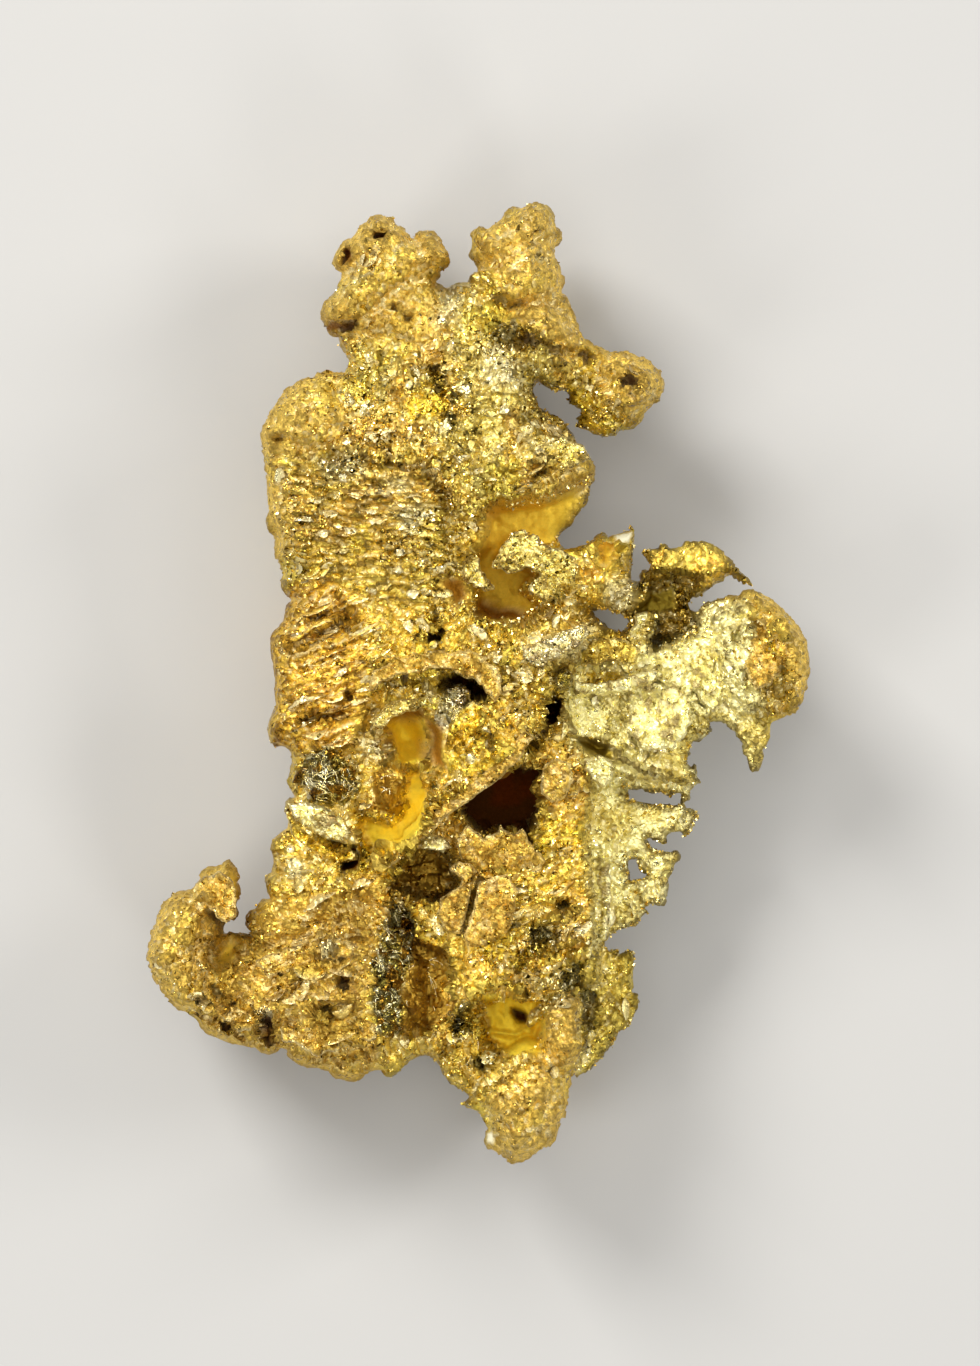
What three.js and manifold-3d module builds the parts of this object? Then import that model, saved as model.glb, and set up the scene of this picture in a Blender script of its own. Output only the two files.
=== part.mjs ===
// Crystallized gold: one natural piece of spongy and leafy gold, lying on its back.
// Units are millimetres, +Z is up, +X runs to the right and +Y towards the two crown horns.
// The piece is what lies inside its outline, below a front relief and above a back relief,
// with octahedral crystals grown on its hackly faces. All of it is one solid.
import * as THREE from "three";
import { mergeVertices } from "three/addons/utils/BufferGeometryUtils.js";
import Module from "manifold-3d";

// Driving dimensions
const HEIGHT = 48; // from the lower tip to the top of the crown
const FRONT_CELL = 0.8; // mesh size of the front relief
const BACK_CELL = 1.25; // mesh size of the back relief
const LEAF_EDGE = 0.3; // half the thickness that every edge keeps
const LEAST_LEAF = 0.9; // thickness of the thinnest leaf away from its edge
const EDGE_ROUNDING = 0.8; // radius of an edge as a share of half the local thickness
const STEEPEST = 1.4; // least width of a step between layers, in mesh cells of the front
const BLEND = 0.5; // how softly one lump runs into the next
const BODY_FRONT = 8.8; // front of the mass where no form is laid over it
const BODY_BACK = 2.6; // back of the mass, above the surface that it lies on
const GRAIN = [
  { size: 2.3, height: 0.26 },
  { size: 1.15, height: 0.15 },
];

// Places are read by eye in the pixels of a photograph of the front, and turned into millimetres.
const TOP_PX = 203;
const BOTTOM_PX = 1164;
const LEFT_PX = 147;
const RIGHT_PX = 808;
const MM_PER_PX = HEIGHT / (BOTTOM_PX - TOP_PX);
const MIDDLE_PX = [(LEFT_PX + RIGHT_PX) / 2, (TOP_PX + BOTTOM_PX) / 2];
const place = ([px, py]) =>
  new THREE.Vector2((px - MIDDLE_PX[0]) * MM_PER_PX, (MIDDLE_PX[1] - py) * MM_PER_PX);
const length = (px) => px * MM_PER_PX;

// The outline, clockwise from the left shoulder, one list for each stretch of the edge.
const LEFT_CROWN = [
  [300, 381], [310, 378], [318, 374], [326, 372], [335, 373], [345, 373], [347, 368], [350, 364],
  [346, 356], [341, 347], [339, 337], [333, 335], [328, 331], [327, 327], [322, 320], [321, 313],
  [324, 305], [331, 299], [337, 290], [340, 280], [341, 273], [335, 269], [332, 263], [334, 254],
  [338, 247], [345, 241], [352, 238], [357, 231], [361, 225], [367, 222], [370, 216], [378, 214],
  [384, 217], [392, 216], [395, 224], [404, 228], [409, 235], [415, 241], [414, 235], [420, 231],
  [428, 230], [435, 232], [440, 239], [444, 247], [450, 255], [451, 262], [449, 268], [441, 271],
  [440, 276], [434, 282], [440, 286], [444, 289], [448, 288], [452, 285], [458, 283], [469, 283],
];
const RIGHT_CROWN = [
  [470, 275], [478, 271], [477, 266], [473, 261], [469, 255], [471, 247], [470, 239], [473, 231],
  [478, 227], [484, 227], [487, 231], [491, 226], [499, 222], [505, 216], [506, 210], [515, 208],
  [523, 210], [528, 205], [535, 203], [542, 205], [549, 210], [554, 219], [557, 227], [563, 233],
  [562, 242], [555, 248], [556, 257], [561, 267], [563, 279], [562, 293], [567, 297], [571, 308],
  [576, 319], [581, 333], [585, 338],
];
const ARM = [
  [597, 345], [610, 351], [625, 351], [637, 356], [649, 360], [657, 371], [663, 380], [664, 390],
  [660, 400], [651, 404], [645, 415], [637, 427], [628, 430], [619, 431], [616, 436], [605, 437],
  [592, 434], [582, 430], [573, 426], [580, 422], [574, 419], [580, 413], [586, 411], [577, 409],
  [567, 405], [568, 400], [570, 396], [566, 391], [555, 391], [545, 388], [538, 383],
];
const UPPER_RIGHT = [
  [533, 388], [533, 393], [536, 399], [539, 407], [545, 410], [550, 414], [557, 416], [563, 419],
  [567, 424], [568, 429], [574, 433], [580, 451], [587, 454], [591, 460], [595, 467],
  [595, 474], [592, 481], [590, 490], [587, 499], [581, 509], [575, 516], [574, 522], 
  [562, 530], [558, 536], [559, 545], [563, 551],
];
const BOX_CRYSTAL = [
  [577, 547], [585, 545], [592, 540], [598, 535], [604, 532], [608, 537], [615, 534],
  [624, 532], [629, 531], [629, 525], [633, 526], [635, 533], [634, 545], [633, 555], [631, 563],
  [632, 570], [631, 580],
];
const FLAP = [
  [640, 581], [637, 576], [640, 571], [648, 570], [650, 565], [646, 560], [641, 553], [643, 549],
  [650, 550], [658, 549], [660, 544], [665, 545], [669, 549], [677, 546], [684, 543], [695, 542],
  [706, 542], [714, 546], [720, 551], [726, 558], [733, 566], [742, 574], [748, 580], [752, 586],
  [748, 587], [742, 584], [735, 579], [729, 574], [724, 580], [716, 584], [707, 590], [698, 597],
  [690, 600], [688, 604], [692, 611], [697, 611],
];
const LOBE = [
  [703, 606], [709, 602], [718, 599], [728, 597], [737, 596], [742, 592], [749, 590], [757, 592],
  [767, 598], [778, 606], [789, 616], [798, 628], [804, 640], [808, 655], [808, 672], [805, 688],
  [800, 702], [793, 712], [783, 719], [773, 723], [770, 727], [770, 737], [766, 747], [762, 750],
  [765, 757], [762, 765], [758, 771], [751, 772], [748, 765], [745, 757], [740, 752], [741, 744],
  [736, 738], [734, 731], [728, 727], [721, 722], [714, 721], [707, 724],
];
const WING_EDGE = [
  [712, 730], [707, 736], [698, 741], [693, 741], [690, 745], [689, 753], [686, 760], [690, 768],
  [695, 762], [697, 768], [696, 775], [702, 781], [690, 791], [690, 800], [685, 803],
  [685, 808], [690, 808], [697, 811], [699, 815], [696, 820], [690, 832], [684, 838],
  [680, 832], [670, 833], [665, 837], [667, 842], [663, 845], [657, 841], [643, 835],
  [648, 841], [651, 848], [660, 850], [670, 851], [677, 850], [681, 855], [680, 860], [675, 864],
  [673, 871], [669, 876], [668, 885], [668, 900], [665, 906], [659, 908], [653, 905], [648, 905],
  [645, 909], [646, 914], [641, 919], [637, 925], [631, 927], [622, 929], [613, 934], [607, 940],
  [603, 945], [607, 950], [617, 950], [620, 955], [626, 951], [632, 950], [634, 957], [635, 967],
  [634, 980], [635, 988], [631, 994], [638, 994], [640, 1001], [637, 1012], [634, 1020], [627, 1029],
  [618, 1033], [616, 1041], [608, 1049], [604, 1056], [600, 1062], [593, 1069], [585, 1074], [578, 1078],
];
const TIP = [
  [572, 1076], [571, 1085], [569, 1098], [565, 1112], [560, 1120], [557, 1130], [555, 1140], [550, 1145],
  [541, 1148], [535, 1152], [528, 1159], [520, 1162], [514, 1164], [508, 1162], [502, 1156], [494, 1152],
  [487, 1148], [483, 1142], [485, 1136], [484, 1133], [487, 1129], [484, 1124], [476, 1112],
  [469, 1109], [463, 1107], [459, 1104], [466, 1100], [469, 1097], [463, 1092], [455, 1089], [449, 1083],
  [445, 1078], [440, 1070], [438, 1063], [430, 1055],
];
const LOWER_LEFT = [
  [427, 1054], [418, 1057], [410, 1061], [402, 1067], [396, 1074], [391, 1078], [385, 1076], [381, 1070],
  [374, 1070], [367, 1073], [362, 1079], [356, 1082], [345, 1080], [335, 1078], [329, 1071], [318, 1068],
  [305, 1067], [296, 1063], [289, 1058], [286, 1050], [281, 1048], [277, 1052], [270, 1054], [263, 1052],
  [257, 1048],
];
const CURL = [
  [245, 1046], [232, 1044], [221, 1040], [210, 1034], [201, 1026], [196, 1018], [188, 1013], [178, 1009],
  [169, 999], [162, 990], [154, 978], [150, 968], [147, 958], [150, 943], [154, 928], [159, 914],
  [166, 903], [174, 894], [183, 891], [190, 890], [196, 884], [200, 878], [202, 871], [208, 867],
  [216, 868], [222, 865], [229, 859], [233, 864], [238, 869], [240, 876], [238, 883], [240, 890],
  [239, 898], [236, 902], [237, 909], [238, 915], [234, 920], [228, 922], [224, 925], [224, 933],
  [233, 933], [243, 934], [250, 936],
];
const SLAB_EDGE = [
  [251, 931], [247, 927], [245, 919], [249, 912], [256, 909], [258, 903], [263, 899], [271, 898],
  [267, 893], [265, 885], [266, 876], [272, 873], [274, 866], [273, 858], [270, 848], [272, 838],
  [280, 833], [286, 828], [288, 820], [284, 812], [285, 803], [290, 799], [295, 797], [291, 790],
  [287, 781], [290, 777], [292, 771], [293, 762], [291, 752], [286, 748], [280, 746], [275, 748],
  [270, 742], [267, 730], [269, 720], [272, 713], [276, 705], [274, 692], [275, 680], [273, 665],
  [270, 650], [270, 637], [273, 631], [279, 626], [283, 621], [284, 613], [286, 604], [291, 600],
  [286, 596], [281, 590], [280, 582], [283, 573], [280, 567], [277, 558], [276, 547], [276, 539],
  [272, 533], [268, 528], [266, 521], [268, 510], [267, 495], [267, 480], [265, 465], [262, 450],
  [262, 437], [266, 424], [271, 412], [278, 401], [287, 391], [293, 387],
];
const OUTLINE = [
  LEFT_CROWN, RIGHT_CROWN, ARM, UPPER_RIGHT, BOX_CRYSTAL, FLAP,
  LOBE, WING_EDGE, TIP, LOWER_LEFT, CURL, SLAB_EDGE,
].flat().map(place);

// Gaps that go right through the leaves of the right wing, turned the other way round
const WING_HOLES = [
  [[592, 610], [600, 609], [606, 608], [612, 613], [621, 614], [627, 620], [628, 626], [622, 631],
   [606, 627], [595, 616]],
  [[621, 785], [630, 789], [640, 791], [652, 793], [662, 792], [671, 798], [674, 793], [680, 795],
   [681, 803], [672, 805], [655, 804], [640, 802], [633, 800], [627, 798], [630, 793]],
  [[628, 862], [632, 859], [637, 859], [638, 866], [642, 872], [649, 873], [645, 878], [637, 880],
   [630, 881], [629, 872]],
].map((hole) => hole.map(place).reverse());

// Layers: leaves and hollows with a front and a back level, laid from the deepest to the nearest.
// soft is the width in pixels over which a layer steps to the one under it. A layer that is cut
// has steep walls down to its front level.
const LAYERS = [
  { name: "right wing", front: 7.5, back: 5.9, soft: 14, edge: [[572, 640], [600, 628], [650, 640],
    [700, 600], [760, 560], [830, 560], [830, 800], [700, 800], [640, 800], [606, 770], [575, 735]] },
  { name: "lower wing", front: 6.4, back: 5.0, soft: 9, edge: [[592, 772], [640, 783], [720, 783],
    [720, 920], [640, 960], [596, 945], [594, 860]] },
  { name: "foot of the wing", front: 5.5, back: 4.1, soft: 9, edge: [[580, 945], [650, 945],
    [650, 1090], [574, 1090], [574, 1000]] },
  { name: "web behind the flap", cut: true, front: 4.6, back: 3.3, soft: 6, edge: [[628, 565], [650, 560],
    [700, 575], [690, 605], [703, 625], [672, 640], [652, 652], [648, 640], [652, 615], [630, 612]] },
  { name: "flap", front: 8.2, back: 6.8, soft: 7, edge: [[636, 540], [700, 530], [770, 570],
    [760, 595], [728, 572], [690, 576], [655, 570], [636, 568]] },
  { name: "neck", front: 9.4, back: 3.0, soft: 16, edge: [[320, 300], [440, 270], [600, 270],
    [600, 380], [340, 390]] },
  { name: "arm", front: 7.9, back: 3.9, soft: 12, edge: [[575, 335], [680, 340], [680, 445], [565, 445]] },
  { name: "upper body", front: 10.6, back: 2.8, soft: 9, edge: [[240, 365], [350, 372], [560, 350],
    [572, 440], [604, 455], [604, 474], [560, 492], [500, 508], [470, 520], [455, 500], [425, 465],
    [345, 458], [300, 446], [240, 455]] },
  { name: "left slab", front: 9.8, back: 2.4, soft: 12, edge: [[240, 452], [300, 450], [345, 462],
    [425, 470], [450, 510], [455, 600], [400, 680], [372, 700], [365, 745], [240, 765]] },
  { name: "yellow recess", cut: true, front: 4.7, back: 2.9, soft: 8, edge: [[486, 514], [560, 494], [610, 472],
    [610, 505], [560, 540], [556, 560], [545, 548], [520, 540], [500, 558], [535, 574], [520, 592],
    [545, 602], [520, 620], [490, 625], [474, 618], [478, 590], [470, 572], [484, 545]] },
  { name: "frilled island", front: 9.2, back: 4.0, soft: 5, edge: [[498, 562], [505, 545], [516, 534],
    [530, 536], [545, 546], [570, 542], [645, 518], [645, 590], [634, 618], [600, 612], [580, 600],
    [550, 607], [530, 600], [520, 588], [536, 572]] },
  { name: "centre", front: 10.1, back: 2.6, soft: 10, edge: [[395, 690], [440, 600], [475, 627],
    [520, 625], [560, 612], [592, 625], [575, 655], [552, 668], [540, 700], [545, 740], [520, 765],
    [470, 795], [430, 790], [440, 760], [430, 700]] },
  { name: "lower centre", front: 9.6, back: 2.8, soft: 10, edge: [[440, 892], [470, 880], [590, 850],
    [596, 980], [560, 992], [500, 985], [455, 1005], [440, 1000], [450, 950]] },
  { name: "dark hole", cut: true, front: 2.1, back: 0.9, soft: 6, edge: [[463, 803], [490, 780], [515, 762],
    [540, 763], [537, 785], [543, 805], [535, 815], [533, 845], [525, 840], [510, 830], [490, 835],
    [470, 820]] },
  { name: "brown hollow", cut: true, front: 5.8, back: 2.6, soft: 7, edge: [[420, 835], [450, 845], [455, 870],
    [466, 890], [440, 897], [400, 884], [402, 862]] },
  { name: "dark smooth face", cut: true, front: 7.0, back: 2.6, soft: 8, edge: [[392, 895], [410, 905], [418, 950],
    [450, 960], [440, 1000], [430, 1030], [375, 1030], [370, 985], [375, 955], [390, 925]] },
  { name: "leaf of the tip", front: 7.4, back: 3.6, soft: 10, edge: [[430, 1020], [490, 1010],
    [510, 1070], [480, 1110], [440, 1110], [420, 1050]] },
  { name: "hollow of the tip", cut: true, front: 4.8, back: 3.0, soft: 7, edge: [[478, 1010], [510, 994],
    [545, 996], [540, 1030], [535, 1052], [510, 1062], [484, 1050]] },
];

// Lumps: half ellipsoids that rise from a rim to a top. Radii are in pixels, turn in degrees.
const LUMPS = [
  { name: "shoulder", at: [306, 415], radii: [54, 50], turn: 40, rim: 8.4, top: 11.5 },
  { name: "left horn", at: [376, 246], radii: [48, 36], turn: 10, rim: 7.0, top: 10.5 },
  { name: "left horn knob", at: [428, 252], radii: [26, 26], turn: 0, rim: 7.2, top: 9.8 },
  { name: "right horn", at: [518, 243], radii: [50, 44], turn: 20, rim: 7.0, top: 10.6 },
  { name: "right horn top", at: [536, 222], radii: [26, 24], turn: 0, rim: 8.0, top: 11.0 },
  { name: "right horn base", at: [525, 315], radii: [58, 44], turn: -25, rim: 8.2, top: 11.4 },
  { name: "arm end", at: [630, 390], radii: [40, 44], turn: 0, rim: 6.2, top: 9.8 },
  { name: "box crystal", at: [608, 572], radii: [26, 42], turn: 0, rim: 8.4, top: 10.4 },
  { name: "centre flakes", at: [488, 742], radii: [56, 34], turn: 38, rim: 8.8, top: 11.2 },
  { name: "net", at: [330, 775], radii: [36, 36], turn: 0, rim: 7.6, top: 10.0 },
  { name: "pod", at: [328, 832], radii: [44, 26], turn: -32, rim: 7.4, top: 10.2 },
  { name: "lower mass", at: [322, 985], radii: [104, 92], turn: 0, rim: 6.4, top: 11.8 },
  { name: "upper lower mass", at: [305, 905], radii: [56, 44], turn: 20, rim: 7.4, top: 10.8 },
  { name: "lobe", at: [758, 655], radii: [56, 76], turn: 0, rim: 5.6, top: 10.0 },
  { name: "tail of the lobe", at: [752, 735], radii: [18, 42], turn: 0, rim: 5.8, top: 7.6 },
  { name: "tip", at: [524, 1105], radii: [52, 66], turn: -12, rim: 5.0, top: 10.8 },
  { name: "side of the tip", at: [560, 1032], radii: [22, 50], turn: 0, rim: 6.2, top: 10.4 },
  { name: "bead", at: [489, 1138], radii: [9, 9], turn: 0, rim: 6.6, top: 8.4 },
];

// Hollows: half ellipsoids that sink from a rim to a floor. One that is cut has a sharp rim.
const HOLLOWS = [
  { name: "yellow bowl", cut: true, at: [403, 735], radii: [34, 38], turn: 0, rim: 11.0, floor: 5.4 },
  { name: "cavity", cut: true, at: [470, 690], radii: [27, 14], turn: -20, rim: 11.5, floor: 5.6 },
  { name: "left bowl", cut: true, at: [396, 808], radii: [34, 38], turn: 30, rim: 9.6, floor: 7.0 },
  { name: "gap by the wing", cut: true, at: [552, 708], radii: [9, 15], turn: -40, rim: 11.0, floor: 4.6 },
  { name: "valley of the curl", cut: true, at: [230, 950], radii: [22, 22], turn: 0, rim: 10.5, floor: 6.4 },
  { name: "hollow of the lobe", at: [770, 678], radii: [18, 30], turn: 8, rim: 10.6, floor: 8.2 },
  { name: "pit of the tip", at: [518, 1016], radii: [9, 9], turn: 0, rim: 6.0, floor: 4.2 },
  { name: "pit of the left horn", at: [378, 234], radii: [9, 6], turn: 20, rim: 10.6, floor: 8.6 },
  { name: "pit of the arm", at: [622, 383], radii: [10, 7], turn: 0, rim: 9.8, floor: 8.2 },
];

const HOLLOW_DETAIL = 2; // how finely a hollow that is cut is faceted

// Ridges: rounded folds and rolled edges along a path. half is half their width in pixels.
const RIDGES = [
  { name: "rolled edge of the left horn", half: 27, rim: 7.6, top: 10.9,
    path: [[332, 312], [366, 290], [402, 262], [440, 257]] },
  { name: "curl", half: 36, rim: 6.0, top: 10.6,
    path: [[226, 876], [192, 903], [172, 945], [178, 985], [210, 1014], [270, 1032]] },
  { name: "edge of the centre plate", half: 10, rim: 8.6, top: 10.7,
    path: [[386, 862], [440, 806], [526, 748]] },
  { name: "fold of the wing", half: 8, rim: 7.3, top: 8.8, path: [[578, 688], [615, 682], [650, 670]] },
  { name: "lip of the wing", half: 8, rim: 6.6, top: 8.4, path: [[612, 758], [650, 774], [700, 781]] },
  { name: "rim of the lobe", half: 15, rim: 8.0, top: 10.2,
    path: [[748, 602], [782, 626], [797, 664], [788, 700]] },
  { name: "crease of the lower wing", half: 8, rim: 6.2, top: 7.6, path: [[600, 862], [600, 940]] },
];

// Feet: lumps of the back that carry the piece, worn flat where they meet the surface.
const WORN = 0.7; // how far a foot is worn away
const FEET = [
  { name: "slab foot", at: [345, 560], radii: [84, 150], turn: 0 },
  { name: "lower foot", at: [318, 972], radii: [84, 72], turn: 0 },
  { name: "centre foot", at: [505, 690], radii: [82, 100], turn: 20 },
  { name: "crown foot", at: [500, 330], radii: [76, 62], turn: 0 },
  { name: "tip foot", at: [528, 1050], radii: [42, 64], turn: 0 },
];

// Crystals: octahedra on the hackly faces, at jittered places on a square net.
const CRYSTAL_NET = 2.4;
const CRYSTAL_RADIUS = [0.55, 1.05];
const CRYSTAL_SUNK = 0.3; // depth of a crystal's centre below the face, as a share of its radius
const CRYSTAL_CLEAR_OF_EDGE = 1.3;
const HACKLY_FACES = [
  [[350, 380], [560, 360], [590, 460], [500, 500], [440, 470], [350, 450]],
  [[380, 470], [450, 500], [470, 600], [540, 620], [560, 690], [520, 760], [440, 760], [430, 690], [390, 640]],
  [[545, 560], [625, 540], [625, 600], [560, 600]],
  [[470, 860], [580, 860], [585, 970], [500, 980]],
].map((face) => face.map(place));

const clamp01 = (t) => Math.min(Math.max(t, 0), 1);
const smoothstep = (from, to, t) => THREE.MathUtils.smoothstep(t, from, to);
const mix = THREE.MathUtils.lerp;

// The larger of two heights, rounded off where they are nearly equal.
function softMax(a, b) {
  const t = clamp01(0.5 + (a - b) / (2 * BLEND));
  return mix(b, a, t) + BLEND * t * (1 - t);
}
const softMin = (a, b) => -softMax(-a, -b);

// Distance from a point to a stretch between two points.
function toSegment(x, y, a, b) {
  const dx = b.x - a.x;
  const dy = b.y - a.y;
  const t = clamp01(((x - a.x) * dx + (y - a.y) * dy) / (dx * dx + dy * dy));
  return Math.hypot(x - a.x - t * dx, y - a.y - t * dy);
}

// Distance from a point to a path of stretches.
function toPath(x, y, path) {
  let nearest = Infinity;
  for (let i = 1; i < path.length; i++) nearest = Math.min(nearest, toSegment(x, y, path[i - 1], path[i]));
  return nearest;
}

// Distance from a point to a closed outline, positive inside and negative outside.
function depthInside(x, y, outline) {
  let inside = false;
  let nearest = Infinity;
  for (let i = 0, j = outline.length - 1; i < outline.length; j = i++) {
    const a = outline[j];
    const b = outline[i];
    nearest = Math.min(nearest, toSegment(x, y, a, b));
    if (a.y > y !== b.y > y && x < a.x + ((y - a.y) / (b.y - a.y)) * (b.x - a.x)) inside = !inside;
  }
  return inside ? nearest : -nearest;
}

// Depth inside the piece, with the wing's gaps counted as outside.
function depthInPiece(x, y) {
  const holes = WING_HOLES.map((hole) => -depthInside(x, y, hole));
  return Math.min(depthInside(x, y, OUTLINE), ...holes);
}

// A repeatable number from 0 to 1 for each pair of whole numbers.
function scatter(i, j) {
  const s = Math.sin(i * 127.1 + j * 311.7) * 43758.5453;
  return s - Math.floor(s);
}

// Smooth noise from -1 to 1 with bumps one unit apart.
function noise(x, y) {
  const i = Math.floor(x);
  const j = Math.floor(y);
  const u = smoothstep(0, 1, x - i);
  const v = smoothstep(0, 1, y - j);
  const low = mix(scatter(i, j), scatter(i + 1, j), u);
  const high = mix(scatter(i, j + 1), scatter(i + 1, j + 1), u);
  return 2 * mix(low, high, v) - 1;
}
const grain = (x, y) => GRAIN.reduce((sum, g) => sum + g.height * noise(x / g.size, y / g.size), 0);

// Height from 0 at the rim of a lump's ellipse to 1 at its centre, or nothing outside it.
function dome(form, x, y) {
  const centre = place(form.at);
  const turn = THREE.MathUtils.degToRad(form.turn);
  const dx = x - centre.x;
  const dy = y - centre.y;
  const along = (dx * Math.cos(turn) + dy * Math.sin(turn)) / length(form.radii[0]);
  const across = (dy * Math.cos(turn) - dx * Math.sin(turn)) / length(form.radii[1]);
  const q = along * along + across * across;
  return q < 1 ? Math.sqrt(1 - q) : null;
}

// Front and back heights before the edges are rounded, with or without the hollows that are cut.
function reliefs(x, y, withCuts) {
  let front = BODY_FRONT;
  let back = BODY_BACK;
  for (const layer of LAYERS) {
    const half = Math.max(length(layer.soft), STEEPEST * FRONT_CELL) / 2;
    const share = smoothstep(-half, half, depthInside(x, y, layer.points));
    if (withCuts || !layer.cut) front = mix(front, layer.front, share);
    back = mix(back, layer.back, share);
  }
  for (const lump of LUMPS) {
    const rise = dome(lump, x, y);
    if (rise !== null) front = softMax(front, mix(lump.rim, lump.top, rise));
  }
  for (const ridge of RIDGES) {
    const t = toPath(x, y, ridge.points) / length(ridge.half);
    if (t < 1) front = softMax(front, mix(ridge.rim, ridge.top, Math.sqrt(1 - t * t)));
  }
  for (const hollow of HOLLOWS) {
    const sink = withCuts || !hollow.cut ? dome(hollow, x, y) : null;
    if (sink !== null) front = softMin(front, mix(hollow.rim, hollow.floor, sink));
  }
  for (const foot of FEET) {
    const reach = dome(foot, x, y);
    if (reach !== null) back = softMin(back, mix(BODY_BACK, -WORN, reach));
  }
  return { front: front + grain(x, y), back: back + grain(x + HEIGHT, y) };
}
LAYERS.forEach((layer) => (layer.points = layer.edge.map(place)));
RIDGES.forEach((ridge) => (ridge.points = ridge.path.map(place)));

// Front and back heights with each edge rounded, as on a pebble, and the feet worn flat.
function skin(x, y, withCuts) {
  const { front, back } = reliefs(x, y, withCuts);
  const half = Math.max(front - back, LEAST_LEAF) / 2;
  const middle = front - half;
  const t = clamp01(depthInPiece(x, y) / (EDGE_ROUNDING * half));
  const rounded = Math.max(half * Math.sqrt(1 - (1 - t) * (1 - t)), LEAF_EDGE);
  return { front: middle + rounded, back: Math.max(middle - rounded, 0) };
}

const wasm = await Module();
wasm.setup();

// A closed geometry as a solid that can be joined and cut.
function solidOf(geometry) {
  const bare = geometry.clone();
  bare.deleteAttribute("normal");
  bare.deleteAttribute("uv");
  const merged = mergeVertices(bare, 1e-5);
  const vertProperties = new Float32Array(merged.attributes.position.array);
  const triVerts = new Uint32Array(merged.index.array);
  return new wasm.Manifold(new wasm.Mesh({ numProp: 3, vertProperties, triVerts }));
}

// A solid's faces as a geometry.
function geometryOf(solid) {
  const { vertProperties, triVerts } = solid.getMesh();
  const geometry = new THREE.BufferGeometry();
  geometry.setAttribute("position", new THREE.BufferAttribute(new Float32Array(vertProperties), 3));
  geometry.setIndex(new THREE.BufferAttribute(new Uint32Array(triVerts), 1));
  geometry.computeVertexNormals();
  return geometry;
}

// A block over the whole outline whose upper or lower face follows a relief.
const ROOM = 2; // how far the blocks reach past the piece on every side
function reliefBlock(cell, heightAt) {
  const box = new THREE.Box2().setFromPoints(OUTLINE).expandByScalar(ROOM);
  const size = box.getSize(new THREE.Vector2());
  const middle = box.getCenter(new THREE.Vector2());
  const [nx, ny] = [size.x, size.y].map((side) => Math.round(side / cell));
  const block = new THREE.BoxGeometry(size.x, size.y, 2, nx, ny, 1).translate(middle.x, middle.y, 0);
  const p = block.attributes.position;
  for (let i = 0; i < p.count; i++) p.setZ(i, heightAt(p.getX(i), p.getY(i), p.getZ(i) > 0));
  return solidOf(block);
}

// The mass: inside the outline, below the front relief and above the back relief.
function massSolid() {
  const shape = new THREE.Shape(OUTLINE);
  shape.holes = WING_HOLES.map((hole) => new THREE.Path(hole));
  const depth = HEIGHT / 2;
  const prism = new THREE.ExtrudeGeometry(shape, { depth: depth + 2 * ROOM, bevelEnabled: false });
  prism.translate(0, 0, -ROOM);
  const below = reliefBlock(FRONT_CELL, (x, y, upper) => (upper ? skin(x, y, false).front : -2 * ROOM));
  const above = reliefBlock(BACK_CELL, (x, y, upper) => (upper ? depth : skin(x, y, true).back));
  return solidOf(prism).intersect(below).intersect(above);
}

// The room above a layer that is cut: a prism on its level.
function layerCut(layer) {
  const room = new THREE.ExtrudeGeometry(new THREE.Shape(layer.points), { depth: HEIGHT, bevelEnabled: false });
  return solidOf(room.translate(0, 0, layer.front));
}

// The room of a hollow that is cut: an ellipsoid about its rim.
function hollowCut(hollow) {
  const centre = place(hollow.at);
  const room = new THREE.IcosahedronGeometry(1, HOLLOW_DETAIL);
  room.scale(length(hollow.radii[0]), length(hollow.radii[1]), hollow.rim - hollow.floor);
  room.rotateZ(THREE.MathUtils.degToRad(hollow.turn));
  return solidOf(room.translate(centre.x, centre.y, hollow.rim));
}

// One octahedral crystal, half sunk in the front, turned its own way.
function crystalSolid(x, y, seed) {
  const radius = mix(...CRYSTAL_RADIUS, scatter(seed, 5));
  const crystal = new THREE.OctahedronGeometry(radius);
  crystal.rotateX(Math.PI * scatter(seed, 1));
  crystal.rotateY(Math.PI * scatter(seed, 2));
  crystal.translate(x, y, skin(x, y, false).front - CRYSTAL_SUNK * radius);
  return solidOf(crystal);
}

// The places where crystals stand.
function crystalPlaces() {
  const places = [];
  const box = new THREE.Box2().setFromPoints(OUTLINE);
  for (let i = 0, x = box.min.x; x < box.max.x; i++, x += CRYSTAL_NET) {
    for (let j = 0, y = box.min.y; y < box.max.y; j++, y += CRYSTAL_NET) {
      const u = x + CRYSTAL_NET * 0.8 * scatter(i, j);
      const v = y + CRYSTAL_NET * 0.8 * scatter(j, i + 50);
      const hackly = HACKLY_FACES.some((face) => depthInside(u, v, face) > 0);
      if (hackly && depthInPiece(u, v) > CRYSTAL_CLEAR_OF_EDGE) places.push([u, v]);
    }
  }
  return places;
}

const gold = new THREE.MeshStandardMaterial({ name: "native gold", color: 0xd9a441, metalness: 1, roughness: 0.35 });
const crystals = crystalPlaces().map(([x, y], i) => crystalSolid(x, y, i + 1));
const cuts = [
  ...LAYERS.filter((layer) => layer.cut).map(layerCut),
  ...HOLLOWS.filter((hollow) => hollow.cut).map(hollowCut),
];
const grown = crystals.reduce((mass, crystal) => mass.add(crystal), massSolid());
const solid = cuts.reduce((mass, cut) => mass.subtract(cut), grown);

const mesh = new THREE.Mesh(geometryOf(solid), gold);
mesh.name = "gold_mass";
const part = new THREE.Group();
part.name = "crystallized_gold";
part.add(mesh);

export default part;
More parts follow.
